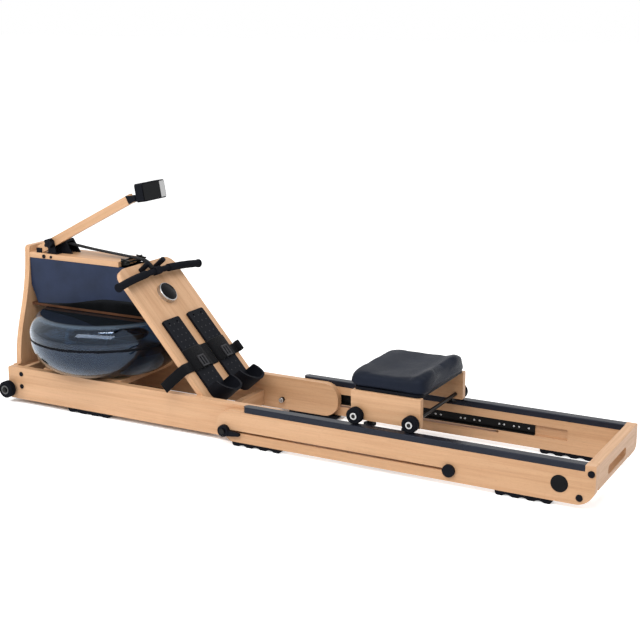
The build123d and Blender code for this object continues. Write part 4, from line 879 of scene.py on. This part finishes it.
class ROWER_OT_trim(Operator):
    """Add hub rings, screw heads, studs, the badge's disc and the dark bands of painted shade on the covers
    """

    bl_idname = "rower.trim"
    bl_label = "Small trim"

    screw_places = (0.4145, 0.4335, 0.5015, 0.5155, 0.5475, 0.5655, 0.6315, 0.6475, 0.6795, 0.6965, 0.7285)
    screw_height = 0.0705
    screw_face = 0.185
    nut_face = 0.1398
    bolt_spread = 0.048
    bolt_drop = 0.077
    badge_along = 0.272
    badge_height = 0.016
    badge_disc_profile = ((0, -SUNK), (0.0328, -SUNK), (0.0328, 0.0004), (0.0320, 0.0010), (0, 0.0010))
    # Top edge of the dark band of painted shade: offset from the cover's front edge and rise above its lower
    # edge
    band_edge = (
        (0.027, 0.001), (0.098, 0.007), (0.175, 0.015), (0.252, 0.031),
        (0.313, 0.042), (0.387, 0.045), (0.527, 0.047),
    )
    band_thickness = 0.0007
    band_inset = 0.001
    band_lift = 0.0006
    # Inner and outer radius of the hub rings, and their height
    roller_ring = (0.0062, 0.011)
    wheel_ring = (0.010, 0.0155)
    ring_height = 0.0012
    # Radius, height and recess of the round caps
    screw_cap = (0.0036, 0.0012, 0.001)
    nut_cap = (0.0085, 0.003, 0.004)
    bolt_cap = (0.008, 0.005, 0.003)
    # Studs: rows up the board from the lowest one, columns across the plate
    stud_rows = 11
    stud_start = -0.06
    stud_step = 0.022
    stud_columns = (-0.024, 0, 0.024)
    stud_height = 0.0088
    stud_profile = ((0, -SUNK), (0.0028, -SUNK), (0.0026, 0.0004), (0.0016, 0.0011), (0, 0.0013))

    def execute(self, context):
        silver = metal("turned_silver", grey(0.5), 0.3)
        dull = metal("dull_zinc", grey(0.12), 0.4)
        black = bpy.data.materials["black_plastic"]
        for end in ENDS:
            self.hub(f"roller_rings_{end}", f"seat_rollers_{end}", (-1, 1), self.roller_ring, silver)
        for side, sign in SIDES:
            self.hub(f"wheel_ring_{side}", f"transport_wheel_{side}", (sign,), self.wheel_ring, dull)
            self.screws(side, sign, silver)
            self.nut(side, sign, silver)
            self.studs(side, black)
            self.band(side, sign)
        self.panel_bolts(black)
        self.badge_disc()
        return {"FINISHED"}

    def hub(self, name, body, signs, radii, material):
        """Rings on the outer faces of a turning piece."""
        place = joint_place(f"{body}_turn")
        profile = ring_profile(*radii, self.ring_height)
        made = []
        for sign in signs:
            spot = Vector((place.x, outer_face(body, sign), place.z))
            made.append(turned(name, profile, [spot], SIDEWAYS * sign))
        mesh = joined(name, made)
        make_piece(name, mesh, material, body, "silver_plastic")

    def screws(self, side, sign, material):
        """Heads of the screws that hold the slide channel in the slot."""
        places = [Vector((x, sign * self.screw_face, self.screw_height)) for x in self.screw_places]
        name = f"channel_screws_{side}"
        mesh = turned(name, cap_profile(*self.screw_cap), places, SIDEWAYS * sign, 20)
        make_piece(name, mesh, material, "rear_frame", "silver_plastic")

    def nut(self, side, sign, material):
        """The bright end of a clamp's bolt on the inner side of the rail."""
        place = joint_place(f"clamp_lever_{side}_turn")
        spot = Vector((place.x, sign * self.nut_face, place.z))
        name = f"clamp_nut_{side}"
        mesh = turned(name, cap_profile(*self.nut_cap), [spot], SIDEWAYS * -sign)
        make_piece(name, mesh, material, "front_frame", "silver_plastic")

    def studs(self, side, material):
        """Rows of small domes that keep a shoe from slipping."""
        middle = plate_middle(side)
        places = []
        for row in range(self.stud_rows):
            along = self.stud_start + self.stud_step * row
            for column in self.stud_columns:
                places.append(on_board(along, middle + column, self.stud_height))
        name = f"foot_studs_{side}"
        mesh = turned(name, self.stud_profile, places, OUT, 14)
        make_piece(name, mesh, material, f"foot_rest_{side}", "black_plastic")

    def band(self, side, sign):
        """A glossy dark band along a cover's lower edge, laid on as painted shade."""
        low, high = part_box("side_covers")
        face = outer_face("side_covers", sign)
        name = f"cover_shade_band_{side}"

        def build(made):
            edge = [Vector((low.x + offset, face, low.z + rise)) for offset, rise in self.band_edge]
            # The band's rear end follows the cover's edge, which slopes as the footboard does
            edge[-1].x = high.x - self.band_edge[-1][1] / math.tan(BOARD_SLOPE) - self.band_inset
            corner = Vector((high.x - self.band_inset, face, low.z + self.band_lift))
            start = Vector((edge[0].x, face, low.z + self.band_lift))
            outline = [start, *smooth_line(edge, 36), corner]
            inner = [made.verts.new(point - SIDEWAYS * (sign * SUNK)) for point in outline]
            outer = [made.verts.new(point + SIDEWAYS * (sign * self.band_thickness)) for point in outline]
            made.faces.new(inner)
            made.faces.new(list(reversed(outer)))
            for first in range(len(outline)):
                second = (first + 1) % len(outline)
                made.faces.new((inner[second], inner[first], outer[first], outer[second]))

        material = moulded(f"cover_painted_shade_{side}", grey(0.003), 0.16, depth=0.02, shine=0.12)
        piece = make_piece(name, mesh_from(name, build), material, "front_frame", "black_plastic")
        piece.data.shade_flat()

    def panel_bolts(self, material):
        """Caps of the two bolts high on the front panel."""
        low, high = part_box("front_panel")
        places = [Vector((low.x, share * self.bolt_spread, high.z - self.bolt_drop)) for share in (-1, 1)]
        mesh = turned("panel_bolts", cap_profile(*self.bolt_cap), places, Vector((-1, 0, 0)))
        make_piece("panel_bolts", mesh, material, "front_frame", "black_plastic")

    def badge_disc(self):
        """The blank dark disc inside the round plate's rim."""
        material = moulded("badge_black", grey(0.007), 0.25, depth=0.05)
        place = on_board(self.badge_along, 0, self.badge_height)
        mesh = turned("badge_disc", self.badge_disc_profile, [place], OUT, 64)
        make_piece("badge_disc", mesh, material, "front_frame", "badge_disc")


class ROWER_OT_stage(Operator):
    """Set up the floor, the light and the camera"""

    bl_idname = "rower.stage"
    bl_label = "Stage"

    # How far behind the far rail the painted shade on the floor reaches
    far_shadow = 0.04
    floor_reach = 40.0
    # Lamps: name, place, target, share of the key's power, width and height
    lamps = (
        ("key", (0.3, -3.4, 3.6), (0.0, 0, 0.2), 1.0, 4.5, 1.5),
        ("shine", (0.6, -2.0, 5.2), (-0.7, 0, 0.3), 0.4, 1.6, 0.5),
        ("fill", (-3.2, -2.2, 2.2), (-0.4, 0, 0.2), 0.35, 2.5, 2.5),
        ("back", (0.5, 3.2, 3.0), (0, 0, 0.2), 0.35, 2.5, 2.5),
    )
    mirrored_lamps = ("key", "shine")
    camera_place = (1.9587, -3.4053, 1.3486)
    camera_tilt = 0.2351
    camera_turn = 0.4873
    camera_sensor = 36
    camera_lens = 71.77
    camera_shift = (-0.0258, -0.0173)

    def execute(self, context):
        looks = context.scene.rower_stage
        scene = context.scene
        scene.view_settings.view_transform = "Standard"
        self.world(scene, looks)
        self.floor(scene, looks)
        for name, place, target, share, width, height in self.lamps:
            self.lamp(scene, name, place, target, looks.key * share, width, height)
        camera = bpy.data.objects.new("camera", bpy.data.cameras.new("camera"))
        scene.collection.objects.link(camera)
        camera.location = self.camera_place
        camera.rotation_euler = (QUARTER_TURN - self.camera_tilt, 0, self.camera_turn)
        camera.data.sensor_width = self.camera_sensor
        camera.data.lens = self.camera_lens
        camera.data.shift_x, camera.data.shift_y = self.camera_shift
        scene.camera = camera
        return {"FINISHED"}

    def seen(self, tree):
        """1 for rays that look at something or mirror it, 0 for rays that only light it."""
        path = tree.nodes.new("ShaderNodeLightPath")
        source = path.outputs["Is Camera Ray"]
        for name in ("Is Glossy Ray", "Is Transmission Ray"):
            either = tree.nodes.new("ShaderNodeMath")
            either.operation = "MAXIMUM"
            tree.links.new(source, either.inputs[0])
            tree.links.new(path.outputs[name], either.inputs[1])
            source = either.outputs[0]
        return source

    def world(self, scene, looks):
        """White where it is seen directly or in a reflection, softer as light."""
        world = bpy.data.worlds.new("studio")
        scene.world = world
        world.use_nodes = True
        tree = world.node_tree
        strength = tree.nodes.new("ShaderNodeMapRange")
        strength.inputs["To Min"].default_value = looks.sky
        strength.inputs["To Max"].default_value = 1.0
        tree.links.new(self.seen(tree), strength.inputs["Value"])
        background = tree.nodes["Background"]
        background.inputs["Color"].default_value = (1, 1, 1, 1)
        tree.links.new(strength.outputs[0], background.inputs["Strength"])

    def floor(self, scene, looks):
        """A wide floor, lifted to white except in a box between the front rails, which is left darker as
        painted shade.
        """
        reach = self.floor_reach
        corners = [(-reach, -reach, 0), (reach, -reach, 0), (reach, reach, 0), (-reach, reach, 0)]
        mesh = bpy.data.meshes.new("floor")
        mesh.from_pydata(corners, [], [(0, 1, 2, 3)])
        floor = bpy.data.objects.new("floor", mesh)
        scene.collection.objects.link(floor)
        finish = Finish("floor_white", looks.floor, 0.9)
        finish.shader.inputs["Emission Color"].default_value = (1, 1, 1, 1)
        lift = finish.maths("MULTIPLY", self.seen(finish.tree), looks.lift)
        finish.feed("Emission Strength", finish.maths("MULTIPLY", lift, self.open_floor(finish)))
        mesh.materials.append(finish.material)

    def open_floor(self, finish):
        """1 on the open floor and 0 in a box between the front rails, where the floor is left darker as
        painted shade.
        """
        low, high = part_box("front_rails")
        place = finish.add("SeparateXYZ", {"Vector": finish.place(grey(1))})
        inside = finish.maths("GREATER_THAN", place.outputs["X"], low.x)
        back = high.y + self.far_shadow
        ends = (("X", high.x, "LESS_THAN"), ("Y", low.y, "GREATER_THAN"), ("Y", back, "LESS_THAN"))
        for axis, limit, test in ends:
            inside = finish.maths("MULTIPLY", inside, finish.maths(test, place.outputs[axis], limit))
        return finish.maths("SUBTRACT", 1.0, inside)

    def lamp(self, scene, name, place, target, power, width, height):
        """A soft box that points at a target."""
        light = bpy.data.lights.new(name, "AREA")
        light.energy = power
        light.shape = "RECTANGLE"
        light.size = width
        light.size_y = height
        lamp = bpy.data.objects.new(name, light)
        lamp.visible_glossy = name in self.mirrored_lamps
        scene.collection.objects.link(lamp)
        lamp.location = place
        aim = Vector(target) - Vector(place)
        lamp.rotation_euler = aim.to_track_quat("-Z", "Y").to_euler()


STEPS = (
    ROWER_OT_stage,
    ROWER_OT_boards,
    ROWER_OT_fittings,
    ROWER_OT_tank,
    ROWER_OT_cushion,
    ROWER_OT_foot_straps,
    ROWER_OT_pull_strap,
    ROWER_OT_trim,
)


class ROWER_PT_panel(Panel):
    """Steps that dress the rower"""

    bl_idname = "ROWER_PT_panel"
    bl_label = "Rower"
    bl_space_type = "VIEW_3D"
    bl_region_type = "UI"
    bl_category = "Rower"

    def draw(self, context):
        for step in STEPS:
            self.layout.operator(step.bl_idname)
        for name, group in GROUPS.items():
            box = self.layout.box()
            for entry in group.__annotations__:
                box.prop(getattr(context.scene, name), entry)


GROUPS = {
    "rower_wood": WoodLooks,
    "rower_fittings": FittingLooks,
    "rower_cushion": CushionLooks,
    "rower_straps": StrapLooks,
    "rower_stage": StageLooks,
}
CLASSES = (*GROUPS.values(), *STEPS, ROWER_PT_panel)


def register():
    for kind in CLASSES:
        bpy.utils.register_class(kind)
    for name, group in GROUPS.items():
        setattr(bpy.types.Scene, name, PointerProperty(type=group))


def unregister():
    for name in GROUPS:
        delattr(bpy.types.Scene, name)
    for kind in reversed(CLASSES):
        bpy.utils.unregister_class(kind)


def main():
    register()
    for step in STEPS:
        family, name = step.bl_idname.split(".")
        getattr(getattr(bpy.ops, family), name)()


if __name__ == "__main__":
    main()
